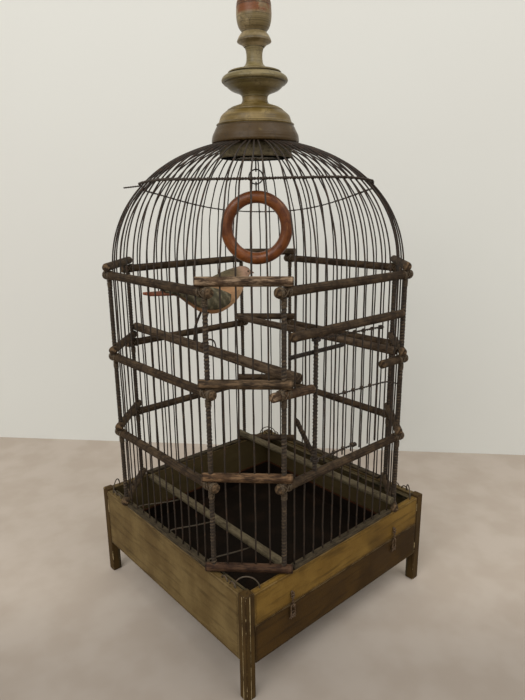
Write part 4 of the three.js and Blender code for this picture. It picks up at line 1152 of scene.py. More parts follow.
@dataclass
class WoodenBase:
    """The square base on its four legs, with the flap and the tray below the front rail."""

    frame: dict[str, Any]
    board_bevel: float = 0.7
    board_step: float = 3.0
    post_top: float = 124.0
    post_rounding: float = 1.6
    post_step: float = 1.6
    near_post_step: float = 0.6
    post_wear: float = 0.62
    post_line: float = 5.6
    post_line_width: float = 0.6
    post_line_stop: float = 1.5
    seam: float = 85.0
    seam_gap: float = 0.6
    flap_bottom: float = 41.0
    flap_thickness: float = 6.5
    flap_bevel: float = 0.8
    ledge_width: float = 6.0
    ledge_groove: float = 1.0
    ledge_groove_depth: float = 1.4
    ledge_top: float = 119.0
    ledge_height: float = 5.0
    ledge_bevel: float = 0.5
    arch_radius: float = 12.6
    arch_wire: float = 0.75
    small_arch_radius: float = 4.6
    small_arch_places: tuple[float, ...] = (112.0, 125.0)
    hinge_places: tuple[float, ...] = (-88.0, 88.0)
    hinge_standoff: float = 2.75
    hinge_wire: float = 0.7
    hinge_leg: float = 16.0
    hinge_half_width: float = 2.7
    shank_wire: float = 0.6
    chain_pitch: float = 2.7
    chain_wire: float = 0.6
    chain_depth: float = 1.3
    eye_chain: tuple[float, float] = (-14.8, -8.6)
    staple_chain: tuple[float, float] = (8.6, 15.0)
    staple_chain_half_width: float = 1.9

    def build(self) -> None:
        """Makes every piece of the base."""
        self.posts()
        self.boards()
        self.flap()
        self.hinges()
        for node in ("left_tray_runner", "right_tray_runner"):
            dress(self.frame, node, Paint.RUNNER)
        dress(self.frame, "dropping_tray", Paint.TRAY)

    def posts(self) -> None:
        """The four leg posts, rubbed through to the pale wood down their outer edges."""
        inner, outer = SIZES.post_inner, SIZES.half_side
        for corner in Corner:
            near = corner is Corner.FRONT_LEFT
            step = self.near_post_step if near else self.post_step
            shell = board((inner, -outer, 0), (outer, -inner, self.post_top), self.post_rounding, step)
            shell.wear = self.post_wear * shell.wear
            if near:
                along_face = np.maximum(outer - shell.points[:, 0], shell.points[:, 1] + outer)
                lines = np.exp(-(((along_face - self.post_line) / self.post_line_width) ** 2))
                below = shell.points[:, 2] < self.post_top - self.post_line_stop
                shell.wear = np.maximum(shell.wear, lines * below)
            name = f"{corner.name.lower()}_leg"
            add_piece(name, shell.turned(corner.value - 45), Paint.POST, [f"{name}_post"], merge=True)

    def boards(self) -> None:
        """The three boards, the front rail, the inside ledges and the arches at the corners."""
        s = SIZES
        half = s.post_inner
        face, inside = -s.board_outer, -s.board_inner
        high = (half, inside, s.rim_top)
        plain = board((-half, face, s.board_bottom), high, self.board_bevel, self.board_step)
        for side in (Side.LEFT, Side.RIGHT, Side.BACK):
            name = side.name.lower()
            shell = plain.turned(side.value)
            add_piece(f"{name}_side_board", shell, Paint.SIDE_BOARD, [f"{name}_board"], merge=True)
        low = (-half, face, self.seam + self.seam_gap / 2)
        narrow = board(low, high, self.board_bevel, self.board_step)
        add_piece("front_board", narrow, Paint.FRONT_BOARD, ["front_rail"], merge=True)
        ledge, arches = self.ledge(), self.arches()
        for side in (Side.LEFT, Side.RIGHT):
            name, node = side.name.lower(), f"{side.name.lower()}_board"
            add_piece(f"{name}_ledge", ledge.turned(side.value), Paint.LEDGE, [node], merge=True)
            add_piece(f"{name}_arches", arches.turned(side.value), Paint.ARCH, [node])

    def ledge(self) -> Shell:
        """The ledge inside a board: two strips on a base, with a groove between them."""
        half, inside = SIZES.post_inner, -SIZES.board_inner
        back, front = inside - 0.1, inside + self.ledge_width
        low, top = self.ledge_top - self.ledge_height, self.ledge_top
        strips = (
            (back, front, low, top - self.ledge_groove_depth),
            (back, inside + (self.ledge_width - self.ledge_groove) / 2, low + 1, top),
            (inside + (self.ledge_width + self.ledge_groove) / 2, front, low + 1, top),
        )
        return Shell.joined(
            [board((-half, y0, z0), (half, y1, z1), self.ledge_bevel) for y0, y1, z0, z1 in strips]
        )

    def arches(self) -> Shell:
        """Half hoops of wire at both ends of a side board: a semicircle between two points of the rim."""
        foot = SIZES.board_outer - SIZES.board_thickness / 2
        along = foot - self.arch_radius * np.sqrt(2)
        pairs = []
        for end in (-1, 1):
            pairs.append(((end * along, -foot), (end * foot, -along)))
            for x in self.small_arch_places:
                r = self.small_arch_radius
                pairs.append(((end * (x - r), -foot), (end * (x + r), -foot)))
        t = np.linspace(0, np.pi, 22)
        shells = []
        for start, end in pairs:
            a, b = np.array([*start, SIZES.rim_top]), np.array([*end, SIZES.rim_top])
            spoke = (a - b) / 2
            arc = (a + b) / 2 + np.cos(t)[:, None] * spoke + np.sin(t)[:, None] * np.linalg.norm(spoke) * UP
            path = np.vstack([a - 2 * UP, arc, b - 0.2 * UP])
            shells.append(tubes(path, self.arch_wire, np.cross(spoke, UP), 8))
        return Shell.joined(shells)

    def flap(self) -> None:
        """The flap under the front rail."""
        half = SIZES.post_inner - SIZES.gap
        face = -SIZES.board_outer
        low = (-half, face, self.flap_bottom)
        high = (half, face + self.flap_thickness, self.seam - self.seam_gap / 2)
        shell = board(low, high, self.flap_bevel, self.board_step)
        add_piece("flap_board", shell, Paint.FLAP, ["tray_flap"], "tray_flap", merge=True)

    def chain(self, x: float, span: tuple[float, float], half_width: float, lean: float) -> Shell:
        """Wire wound round a hinge's legs: a helix flattened against the board.

        Args:
            x: The hinge's place along the front.
            span: Heights over the seam at which the winding begins and ends.
            half_width: Half its width.
            lean: How far its end lies nearer to the board.

        Returns:
            The winding.
        """
        low, high = (self.seam + height for height in span)
        turns = (high - low) / self.chain_pitch
        t = np.linspace(0, 1, int(20 * turns))
        angle = 2 * np.pi * turns * t
        y = -(SIZES.board_outer + self.hinge_standoff) + lean * t + self.chain_depth * np.sin(angle)
        path = np.stack([x + half_width * np.cos(angle), y, low + (high - low) * t], -1)
        return tubes(path, self.chain_wire, UP, 8, wear=0.8)

    def hinges(self) -> None:
        """The flap's two wire hinges: an eye in the flap, and a staple in the rail that holds it."""
        axis_y = -(SIZES.board_outer + self.hinge_standoff)
        inside = -SIZES.board_outer + self.flap_thickness / 2
        wire, seam = self.hinge_wire, self.seam
        reach = 2 * wire + SIZES.gap
        low, w = seam - self.hinge_leg, self.hinge_half_width
        eyes, staples = [], []
        for x in self.hinge_places:
            corners = np.array(
                [
                    [x - w, inside, low],
                    [x - w, axis_y, low],
                    [x - w, axis_y, seam],
                    [x + w, axis_y, seam],
                    [x + w, axis_y, low],
                    [x + w, inside, low],
                ]
            )
            # High wear gives the hinge wires pale flecks: worn metal and painted highlights.
            eyes.append(tubes(rounded_path(corners, 1.3), wire, [1.0, 0.9, 0.8], 10, wear=0.9))
            ring = ring_path((x, axis_y, seam), reach, (1, 0, 0))
            staples.append(tubes(ring, wire, [1, 0, 0], 8, closed=True, wear=0.9))
            for side in (-wire, wire):
                shank = np.array(
                    [
                        [x + side, axis_y, seam + reach - 0.2],
                        [x + side, axis_y + 0.3, seam + self.hinge_leg / 2],
                        [x + side, axis_y + self.hinge_standoff - 0.9, seam + self.hinge_leg],
                    ]
                )
                staples.append(tubes(curve_through(shank, 12), self.shank_wire, [1, 0, 0], 8, wear=0.7))
            eyes.append(self.chain(x, self.eye_chain, w + 0.6, 0.0))
            staples.append(self.chain(x, self.staple_chain, self.staple_chain_half_width, 0.8))
        add_piece("flap_hinge_eyes", Shell.joined(eyes), Paint.HINGE, ["tray_flap"], "tray_flap")
        nodes = ["hinge_staple_left", "hinge_staple_right"]
        add_piece("flap_hinge_staples", Shell.joined(staples), Paint.HINGE, nodes)


@dataclass
class CageWalls:
    """The eight walls: sill strips, upright wires, dowel rails, corner rods and their bindings."""

    doorway: tuple[float, float] = (-51.3, 51.2)
    wire_foot: float = 2.0
    left_stub: tuple[float, float] = (-108.8, -54.0)
    left_stub_drop: float = 3.0
    right_stub: tuple[float, float] = (56.0, 101.7)
    lintel_ends: tuple[float, float] = (-83.5, 90.6)
    near_wear: float = 0.55
    far_wear: float = 0.1
    binding_wire: float = 0.45
    binding_turns: float = 5.0
    binding_pitch: float = 1.5
    winding_turns: float = 2.8
    winding_pitch: float = 1.15
    rod_lumps: float = 0.11
    rod_wrap: float = 3.6

    @staticmethod
    def places() -> Array:
        """Where the twelve wires of a long side stand, from its middle."""
        return (np.arange(12) - 5.5) * SIZES.wire_pitch

    @staticmethod
    def corner_places() -> Array:
        """Where the four wires of a cut corner stand, from its middle."""
        return (np.arange(4) - 1.5) * SIZES.chamfer_pitch

    def build(self) -> None:
        """Makes every piece of the walls."""
        for side in Side:
            self.long_side(side)
        for corner in Corner:
            self.cut_corner(corner)
        self.front_rails()

    def long_side(self, side: Side) -> None:
        """One long side's sill strip, wires and rails."""
        s = SIZES
        name, degrees, y = side.name.lower(), side.value, -s.wall_offset
        half = s.overhang_end - s.rail_radius / np.sqrt(2) - s.gap
        high = (half, -s.board_outer + s.sill_width, s.rim_top + s.sill_height)
        strip = board((-half, -s.board_outer, s.rim_top), high, 1.2, 3.0)
        places = self.places()
        foot, top, radius = s.rim_top + self.wire_foot, s.top_rail, s.wire_radius
        if side is Side.FRONT:
            between = (places > self.doorway[0]) & (places < self.doorway[1])
            short = straight_wires(places[between], y, foot, s.lower_rail, radius, 11)
            long = straight_wires(places[~between], y, foot, top, radius, 12)
            wires = Shell.joined([short, long])
        else:
            wires = straight_wires(places, y, foot, top, radius, 20 + degrees)
        bars = [f"{name}_bars"]
        add_piece(f"{name}_sill_strip", strip.turned(degrees), Paint.SILL, bars, merge=True)
        add_piece(f"{name}_wires", wires.turned(degrees), Paint.WIRE, bars)
        add_piece(f"{name}_windings", self.windings().turned(degrees), Paint.BINDING, bars)
        levels = {"lower": s.lower_rail, "middle": s.middle_rail}
        if side is Side.FRONT:
            del levels["middle"]
        for level, z in levels.items():
            shell = wall_rail(s.corner_along + s.rail_overhang, y, z, degrees + int(z))
            add_piece(f"{name}_{level}_dowel", shell.turned(degrees), Paint.RAIL, [f"{name}_{level}_rail"])

    def front_rails(self) -> None:
        """The short rails beside the doorway and the lintel over it."""
        y, middle = -SIZES.wall_offset, SIZES.middle_rail
        for name, (start, end), z, drop, paint in (
            ("front_middle_rail_left", self.left_stub, middle, self.left_stub_drop, Paint.TAN_RAIL),
            ("front_middle_rail_right", self.right_stub, middle, 0.0, Paint.RAIL),
            ("door_lintel", self.lintel_ends, SIZES.lintel, 0.0, Paint.RAIL),
        ):
            shell = rail((start, y, z), (end, y, z - drop), SIZES.rail_radius, int(z + start))
            add_piece(f"{name}_dowel", shell, paint, [name])

    def corner_rods(self) -> Shell:
        """Both corner rods of a cut corner, each wrapped in wire from end to end."""
        s = SIZES
        paths = []
        for x in (-s.chamfer_half, s.chamfer_half):
            z = np.linspace(s.rim_top + 1, s.top_rail + s.stack - s.rail_radius - 0.5, 760)
            paths.append(np.stack([np.full_like(z, x), np.full_like(z, -s.chamfer_offset), z], -1))

        def lumps(run: Array, angle: Array) -> Array:
            """The turns of the wrapping, worn in places, and crumbs of rust on them."""
            worn = 0.65 + 0.35 * np.sin(run * 0.11 + 2 * np.sin(run * 0.037))
            turns = self.rod_lumps * worn * np.cos(2 * np.pi * run / self.rod_wrap - angle)
            crumbs = 0.05 * np.sin(run * 1.9 + 3 * angle) * np.sin(run * 0.73 + 1.7 * np.cos(angle))
            return 0.09 + turns + crumbs

        return tubes(np.array(paths), s.rod_radius, [0, -1, 0], 14, lumps=lumps)

    def bindings(self) -> Shell:
        """Thin wire wound round the corner rods just below each long rail."""
        s = SIZES
        coils = []
        for x in (-s.chamfer_half, s.chamfer_half):
            for z in (s.lower_rail, s.middle_rail, s.top_rail):
                start = np.array([x, -s.chamfer_offset, z - s.rail_radius - 1.0])
                radius = s.rod_radius + self.binding_wire + 0.1
                sideways = np.array([1.0, 0, 0])
                path = coil_path(start, -UP, sideways, radius, self.binding_pitch, self.binding_turns)
                coils.append(tubes(path, self.binding_wire, UP, 6, wear=0.8))
        return Shell.joined(coils)

    def windings(self) -> Shell:
        """Wire wound round the long rails on either side of each corner rod, and crosswise over it.

        A crosswise turn lies on the cylinder round the rail where a slanting plane cuts it.
        """
        s = SIZES
        coils = []
        turn = np.linspace(0, 2 * np.pi, 32, endpoint=False)[:, None]
        reach = s.rail_radius + self.binding_wire
        sideways = np.array([1.0, 0, 0])
        for x in (-s.corner_along, s.corner_along):
            for z in (s.lower_rail, s.middle_rail, s.top_rail):
                for beside in (-s.rod_radius - 4.4, s.rod_radius + 1.2):
                    start = np.array([x + beside, -s.wall_offset, z])
                    path = coil_path(start, sideways, UP, reach, self.winding_pitch, self.winding_turns)
                    coils.append(tubes(path, self.binding_wire, sideways, 6, wear=0.8))
                for slant in (-0.8, 0.8):
                    across = np.cos(turn) * (slant * sideways + UP) + np.sin(turn) * np.array([0, 1.0, 0])
                    path = np.array([x, -s.wall_offset, z]) + reach * across
                    coils.append(tubes(path, self.binding_wire, sideways, 6, closed=True, wear=0.8))
        return Shell.joined(coils)

    def cut_corner(self, corner: Corner) -> None:
        """One cut corner's rails, wires, rods and bindings."""
        s = SIZES
        name, degrees, y = corner.name.lower(), corner.value, -s.chamfer_offset
        nodes = [f"{name}_grille"]
        top = s.top_rail + s.stack
        wires = straight_wires(self.corner_places(), y, s.sill_rail, top, s.wire_radius, 40 + degrees)
        add_piece(f"{name}_wires", wires.turned(degrees), Paint.WIRE, nodes)
        add_piece(f"{name}_rods", self.corner_rods().turned(degrees), Paint.ROD, nodes)
        add_piece(f"{name}_bindings", self.bindings().turned(degrees), Paint.BINDING, nodes)
        near = corner is Corner.FRONT_LEFT
        wear = self.near_wear if near else self.far_wear
        for level, z, near_paint in (
            ("sill", s.sill_rail, Paint.RED_RAIL),
            ("lower", s.lower_rail + s.stack, Paint.RUST_RAIL),
            ("middle", s.middle_rail + s.stack, Paint.RAIL),
        ):
            shell = wall_rail(s.chamfer_half + s.rail_overhang, y, z, degrees + int(z), wear)
            paint = near_paint if near else Paint.RAIL
            add_piece(f"{name}_{level}_dowel", shell.turned(degrees), paint, nodes)


@dataclass
class Dome:
    """The bent dome wires on their top rails, the binding hoop and the crown puck."""

    stray: float = 1.1
    # The near corner's top rail is rubbed more; its pale streaks are worn wood and painted highlights.
    near_wear: float = 0.5
    far_wear: float = 0.1
    hoop_mean: float = 503.7
    hoop_tilt: float = 16.5
    hoop_sag: float = 7.2
    hoop_tail: float = 20.0
    hoop_start: float = 139.0
    near_direction: float = 225.0
    hoop_strand: float = 0.5
    hoop_near_strand: float = 0.75
    hoop_knot: float = 0.35
    hoop_twist: float = 5.5
    puck_bottom: float = 540.5
    puck_top: float = 561.7

    def build(self) -> None:
        """Makes every piece of the dome."""
        s = SIZES
        z, y = s.top_rail, -s.wall_offset
        for side in Side:
            low = s.lintel if side is Side.FRONT else z
            wires = self.bent_wires(CageWalls.places(), y, z, low, 60 + side.value)
            shell = wall_rail(s.corner_along + s.rail_overhang, y, z, side.value + 5)
            self.add_wall(side, wires, shell, Paint.RAIL)
        z, y = s.top_rail + s.stack, -s.chamfer_offset
        for corner in Corner:
            near = corner is Corner.FRONT_LEFT
            wear = self.near_wear if near else self.far_wear
            wires = self.bent_wires(CageWalls.corner_places(), y, z, z, 80 + corner.value)
            shell = wall_rail(s.chamfer_half + s.rail_overhang, y, z, corner.value + 9, wear)
            self.add_wall(corner, wires, shell, Paint.TAN_RAIL if near else Paint.RAIL)
        self.puck()
        self.hoop()

    @staticmethod
    def add_wall(wall: Enum, wires: Shell, dowel: Shell, paint: Paint) -> None:
        """Adds the dome wires of one wall and the top rail that they are bent over."""
        name = wall.name.lower()
        nodes = [f"{name}_dome"]
        add_piece(f"{name}_dome_wires", wires.turned(wall.value), Paint.WIRE, nodes)
        add_piece(f"{name}_top_dowel", dowel.turned(wall.value), paint, nodes)

    @staticmethod
    def radius(foot: Array, turn: Array) -> Array:
        """Distance from the axis at a turn, 0 at the foot: the foot's radius times an eased cosine."""
        return np.cos(turn) * (foot + (SIZES.corner_radius - foot) * np.sin(turn) ** 2)

    def bent_wires(self, places: Array, y: float, z: float, low: float, seed: int) -> Shell:
        """Wires bent over from a top rail to the puck, in planes through the cage's axis.

        Args:
            places: Where they stand along their wall.
            y: The wall's own depth.
            z: Height of the rail's axis.
            low: Height at which the middle wires begin.
            seed: Chooses how they stray.

        Returns:
            The wires in the wall's own frame.
        """
        s = SIZES
        foot_x = np.array(places)[:, None]
        foot = np.hypot(foot_x, y)
        search = np.linspace(0, np.pi / 2, 4000)
        last = search[np.argmin(np.abs(self.radius(foot, search) - s.puck_radius - s.gap), axis=1)][:, None]
        t = np.linspace(0, 1, 44)
        turn = last * t
        radius = self.radius(foot, turn)
        height = s.top_rail + s.dome_rise * np.sin(turn) ** (2 / s.dome_fullness)
        height = np.maximum(height, z - 1.0)
        inward = np.stack([-foot_x / foot, -y / foot, np.zeros_like(foot)], -1)
        paths = np.stack([np.broadcast_to(foot_x, radius.shape), np.full_like(radius, y), height], -1)
        paths = paths + inward * (foot - radius)[..., None]
        fade = np.sin(np.pi * t)
        sideways = np.cross(inward, UP)
        paths = paths + sideways * (self.stray * sway(t, seed, len(places)) * fade)[..., None]
        if low < z:
            left, right = CageWalls.doorway
            in_doorway = (foot_x[:, 0] > left) & (foot_x[:, 0] < right)
            paths[in_doorway, 0, 2] = low
        size = s.wire_radius * (1 + 0.05 * sway(t * 7, seed + 3, len(places)))
        return tubes(paths, size, sideways[:, 0], 8)

    def puck(self) -> None:
        """The turned puck that the wires end on, with the hole of the swing's hook."""
        low, high, radius = self.puck_bottom, self.puck_top, SIZES.puck_radius
        profile = outline(
            [(0, low + 3), (3, low + 3)],
            [(3, low + 3), (3, low + 0.5)],
            [(3.5, low), (radius - 1.8, low)],
            [(radius - 1.8, low), (radius - 0.5, low + 0.5), (radius, low + 1.8)],
            [(radius, low + 1.8), (radius, high)],
            [(radius, high), (0, high)],
        )
        add_piece("puck", lathe(profile), Paint.PUCK, ["crown_puck"])

    def hoop(self) -> None:
        """Two thin wires twisted together and laid round the dome, with a tail at the back left.

        Its height is the mean, plus the tilt times the cosine of the direction from the near corner, less
        the sag times the cosine of twice that. Its radius is the dome's own there, plus the wires'.
        """
        s = SIZES
        start = np.radians(self.hoop_start)
        direction = start + np.linspace(0, 2 * np.pi - 0.06, 900)
        from_near = direction - np.radians(self.near_direction)
        z = self.hoop_mean + self.hoop_tilt * np.cos(from_near) - self.hoop_sag * np.cos(2 * from_near)
        from_side = direction - np.pi / 2 * np.round(direction / (np.pi / 2))
        shifted = direction - np.pi / 4
        from_corner = shifted - np.pi / 2 * np.round(shifted / (np.pi / 2))
        wall = np.minimum(s.wall_offset / np.cos(from_side), s.chamfer_offset / np.cos(from_corner))
        turn = np.arcsin(((z - s.top_rail) / s.dome_rise) ** (s.dome_fullness / 2))
        near = 0.5 + 0.5 * np.cos(from_near)
        thicker = (self.hoop_near_strand - self.hoop_strand) * np.clip(near * 1.5 - 0.2, 0, 1)
        strand = self.hoop_strand + thicker
        radius = self.radius(wall, turn) + s.wire_radius + 2 * strand + 0.2
        between = np.exp(1j * (direction[:, None] - self.wire_directions()[None, :]))
        apart = np.abs(np.angle(between)).min(1)
        strand = strand * (1 + self.hoop_knot * np.exp(-((apart * radius / 1.6) ** 2)))
        path = np.stack([radius * np.cos(direction), radius * np.sin(direction), z], -1)
        out = unit(path[0] * [1, 1, 0])
        t = np.linspace(1, 0, 40)[:-1, None]
        tail = path[0] + out * self.hoop_tail * t - 2 * t * UP
        size = np.append(np.full(len(tail), self.hoop_strand), strand)
        pair = twisted_pair(np.vstack([tail, path]), UP, size[:, None], self.hoop_twist)
        add_piece("binding_hoop", tubes(pair, size, UP, 6), Paint.BINDING, ["dome_hoop"])

    @staticmethod
    def wire_directions() -> Array:
        """The directions in which the dome's wires stand round the axis."""
        s = SIZES
        long = np.arctan2(-s.wall_offset, CageWalls.places())
        cut = np.arctan2(-s.chamfer_offset, CageWalls.corner_places())
        sides = [long + np.radians(side.value) for side in Side]
        return np.concatenate(sides + [cut + np.radians(corner.value) for corner in Corner])


@dataclass
class Finial:
    """The turned finial in its three pieces, each a smooth profile swept round the axis.

    A profile is made of runs of (radius, height over the piece's foot).
    """

    bell_foot: float = 556.0
    disc_foot: float = 605.0
    urn_foot: float = 655.0
    recess_radius: float = 46.8
    recess_depth: float = 6.0
    bell_neck: float = 14.3
    disc_neck: float = 10.4
    urn_neck: float = 11.0
    bell_grooves: tuple[float, ...] = (18.3, 21.0, 34.0, 36.5)
    disc_grooves: tuple[float, ...] = (13.7, 23.0, 26.0)
    urn_grooves: tuple[float, ...] = (6.6, 14.7, 39.5, 41.9, 54.8)
    groove_width: float = 0.6

    def build(self) -> None:
        """Makes the three pieces."""
        for name, foot, profile, grooves, paint in (
            ("bell", self.bell_foot, self.bell(), self.bell_grooves, Paint.BELL),
            ("disc", self.disc_foot, self.disc(), self.disc_grooves, Paint.DISC),
            ("urn", self.urn_foot, self.urn(), self.urn_grooves, Paint.URN),
        ):
            away = np.min(np.abs(profile[:, 1:] - np.array(grooves)), axis=1)
            shell = lathe(profile, 112, np.exp(-away / self.groove_width)).moved((0, 0, foot))
            shell.grain = shell.points.copy()
            add_piece(f"turned_{name}", shell, paint, [f"finial_{name}"])

    def bell(self) -> Array:
        """The bell's profile: a flared foot, a bead, a shoulder and a fillet up to its neck."""
        seat, recess, neck = self.recess_depth, self.recess_radius, self.bell_neck
        return outline(
            [(0, seat), (recess, seat)],
            [(recess, seat), (recess, 0)],
            [(47.2, 0), (48.7, 0.6), (49.2, 2.2), (49.0, 4.3), (48.2, 8.5), (46.1, 12.7), (43.9, 17.2)],
            [(43.2, 17.9), (42.6, 18.5)],
            [(43.1, 18.9), (43.6, 20.0), (42.6, 20.9)],
            [(41.6, 21.1), (40.5, 23.2), (39.1, 27.4), (37.9, 29.4), (35.7, 31.5), (32.8, 33.8)],
            [(31.3, 34.2), (30.9, 35.6), (29.7, 36.2)],
            [(28.6, 36.6), (27.2, 37.8), (21.8, 39.7), (17.2, 41.2), (14.8, 43.4), (14, 46.5), (neck, 48.7)],
            [(neck, 48.7), (0, 48.7)],
        )

    def disc(self) -> Array:
        """The disc's profile: a cup that opens upwards, a rounded rim, and a cove up to its neck."""
        foot, neck = self.bell_neck, self.disc_neck
        cup = [(14.9, 1.6), (17.3, 3.6), (20.7, 5), (26.2, 7.1), (29.4, 9.4), (31.4, 11.4), (34, 12.9)]
        cove = [(26.6, 26), (21.5, 27.3), (15.6, 28.9), (11.8, 31), (9.8, 33.5), (8.9, 37), (8.7, 42)]
        return outline(
            [(0, 0), (foot, 0)],
            [(foot, 0), *cup],
            [(34.3, 13.2), (33.9, 13.8), (34.6, 14.2)],
            [(34.6, 14.2), (36, 14.9), (36.6, 16.4), (36.1, 18.2), (34.9, 20), (32.2, 21.8), (28.8, 22.6)],
            [(28.2, 22.7), (28.2, 23.3)],
            [(28.8, 23.4), (29.5, 24.0), (29.0, 25.2), (27.0, 25.9)],
            [*cove, (9.2, 46), (neck, 49.7)],
            [(neck, 49.7), (0, 49.7)],
        )

    def urn(self) -> Array:
        """The urn's profile: a foot, a swelling body with two grooves, and a button on top."""
        foot = self.urn_neck
        body = [(13.3, 14.9), (13.9, 15.9), (15.2, 17.4), (16.6, 19.4), (18, 23.2), (18.9, 28.5), (19, 34)]
        return outline(
            [(0, 0), (foot, 0)],
            [(foot, 0), (12.2, 1.2), (14.4, 3.2), (18.6, 5.3)],
            [(18.7, 5.8), (17.9, 7.8), (16.6, 10.4), (14.7, 13), (13.4, 14.6)],
            [*body, (18.8, 39.1)],
            [(18.45, 39.5), (18.75, 39.9)],
            [(18.75, 39.9), (18.6, 41.5)],
            [(18.25, 41.9), (18.5, 42.3)],
            [(18.5, 42.3), (17.6, 45.6), (15.7, 49.6), (12.6, 52.8), (9.4, 54.4)],
            [(8.3, 54.8), (7.4, 56.4), (8.3, 58.8), (8.8, 62), (7.8, 65.8), (5, 68.8), (0, 70)],
        )


@dataclass
class Swing:
    """The wire hook and link, and the wooden ring that hangs from them."""

    wire: float = 0.8
    eye: float = 2.3
    hook_top: float = 543.2
    hook_eye_z: float = 529.0
    link_z: float = 520.7
    link_radius: float = 8.0
    ring_eye_z: float = 512.4
    ring_z: float = 463.2
    ring_radius: float = 35.3
    ring_tube: float = 7.1
    ring_steps: int = 96
    screw_sunk: float = 1.5
    across: Array = field(default_factory=lambda: np.array([1.0, -1.0, 0.0]) / np.sqrt(2))
    facing: Array = field(default_factory=lambda: np.array([1.0, 1.0, 0.0]) / np.sqrt(2))

    def stem(self, low: float, high: float) -> Shell:
        """A wire that stands on the cage's axis."""
        return tubes(np.linspace([0, 0, low], [0, 0, high], 10), self.wire, self.across, 10)

    def wire_eye(self, z: float) -> Shell:
        """A small eye of wire on the cage's axis."""
        return tubes(ring_path((0, 0, z), self.eye, self.across), self.wire, self.across, 8, closed=True)

    def build(self) -> None:
        """Makes the hook, the link and the ring with its screw eye."""
        stem = self.stem(self.hook_eye_z + self.eye - 0.2, self.hook_top)
        hook = Shell.joined([stem, self.wire_eye(self.hook_eye_z)])
        add_piece("hook_wire", hook, Paint.BINDING, ["swing_hook"])
        path = ring_path((0, 0, self.link_z), self.link_radius, self.facing, 60)
        link = tubes(path, self.wire, self.facing, 10, closed=True)
        add_piece("link_wire", link, Paint.WIRE, ["swing_link"], "swing_link")
        path = ring_path((0, 0, self.ring_z), self.ring_radius, self.facing, self.ring_steps)
        angle = np.linspace(0, 2 * np.pi, self.ring_steps, endpoint=False)
        wear = 0.25 + 0.25 * np.sin(angle * 2 + 0.6)
        ring = tubes(path, self.ring_tube, self.facing, 32, closed=True, wear=wear)
        ring.wear = np.clip(ring.wear + 0.6 * (1 - np.abs(ring.grain[:, 1]) / self.ring_tube) ** 1.5, 0, 1)
        add_piece("ring_wood", ring, Paint.RING, ["swing_ring"], "swing_ring")
        top = self.ring_z + self.ring_radius + self.ring_tube
        screw = self.stem(top - self.screw_sunk, self.ring_eye_z - self.eye + 0.2)
        eye = Shell.joined([screw, self.wire_eye(self.ring_eye_z)])
        add_piece("ring_screw_eye", eye, Paint.WIRE, ["swing_ring"], "swing_ring")


@dataclass
class Perches:
    """The four dowel perches and the wires that hold the low left one."""

    radius: float = 4.8
    settle: float = 0.4
    left_front: tuple[float, float, float] = (-71.85, -143.5, 325.3)
    left_back: tuple[float, float, float] = (-85.2, 149.0, 334.6)
    left_swell: float = 0.8
    left_wear: float = 0.45
    wear: float = 0.35
    right_x: float = 84.95
    right_reach: float = 142.5
    low_left_x: float = -84.03
    low_left_z: float = 122.5
    low_left_reach: float = 134.0
    low_right_x: float = 85.6
    low_right_reach: float = 148.0
    wire_places: tuple[tuple[float, float], ...] = ((71.1, 61.1), (-2.0, -10.1), (-77.0, -81.9))

    def build(self) -> None:
        """Makes the perches."""
        on_rail = SIZES.rail_radius + SIZES.gap + self.radius
        right_z = SIZES.middle_rail + on_rail
        low_right_z = SIZES.sill_rail + on_rail - self.settle
        for name, x, reach, z, paint in (
            ("right_perch", self.right_x, self.right_reach, right_z, Paint.PERCH),
            ("low_left_perch", self.low_left_x, self.low_left_reach, self.low_left_z, Paint.PALE_PERCH),
            ("low_right_perch", self.low_right_x, self.low_right_reach, low_right_z, Paint.PALE_PERCH),
        ):
            shell = rail((x, -reach, z), (x, reach, z), self.radius, int(x + z), self.wear)
            add_piece(f"{name}_dowel", shell, paint, [name])
        lift = np.array([0.0, 0.0, self.left_swell])
        ends = [np.array(end) + lift for end in (self.left_front, self.left_back)]
        shell = rail(*ends, self.radius + self.left_swell, 17, self.left_wear)
        add_piece("left_perch_dowel", shell, Paint.PERCH, ["left_perch"])
        self.holding_wires()

    def holding_wires(self) -> None:
        """Wires that reach from the left sill over the ledge and under the low left perch."""
        s = SIZES
        shells = []
        for at_sill, at_perch in self.wire_places:
            points = np.array(
                [
                    [-s.board_inner + 0.3, at_sill, s.rim_top + 2],
                    [-s.board_inner + 8, at_sill, s.rim_top + 1.6],
                    [self.low_left_x - 22, (at_sill + 2 * at_perch) / 3, self.low_left_z - 2.6],
                    [self.low_left_x - self.radius / 2, at_perch, self.low_left_z - self.radius - 0.2],
                    [self.low_left_x + 1.5, at_perch, self.low_left_z - self.radius],
                ]
            )
            shells.append(tubes(curve_through(points, 30), s.wire_radius, UP, 8))
        add_piece("low_left_perch_wires", Shell.joined(shells), Paint.ARCH, ["low_left_perch"])


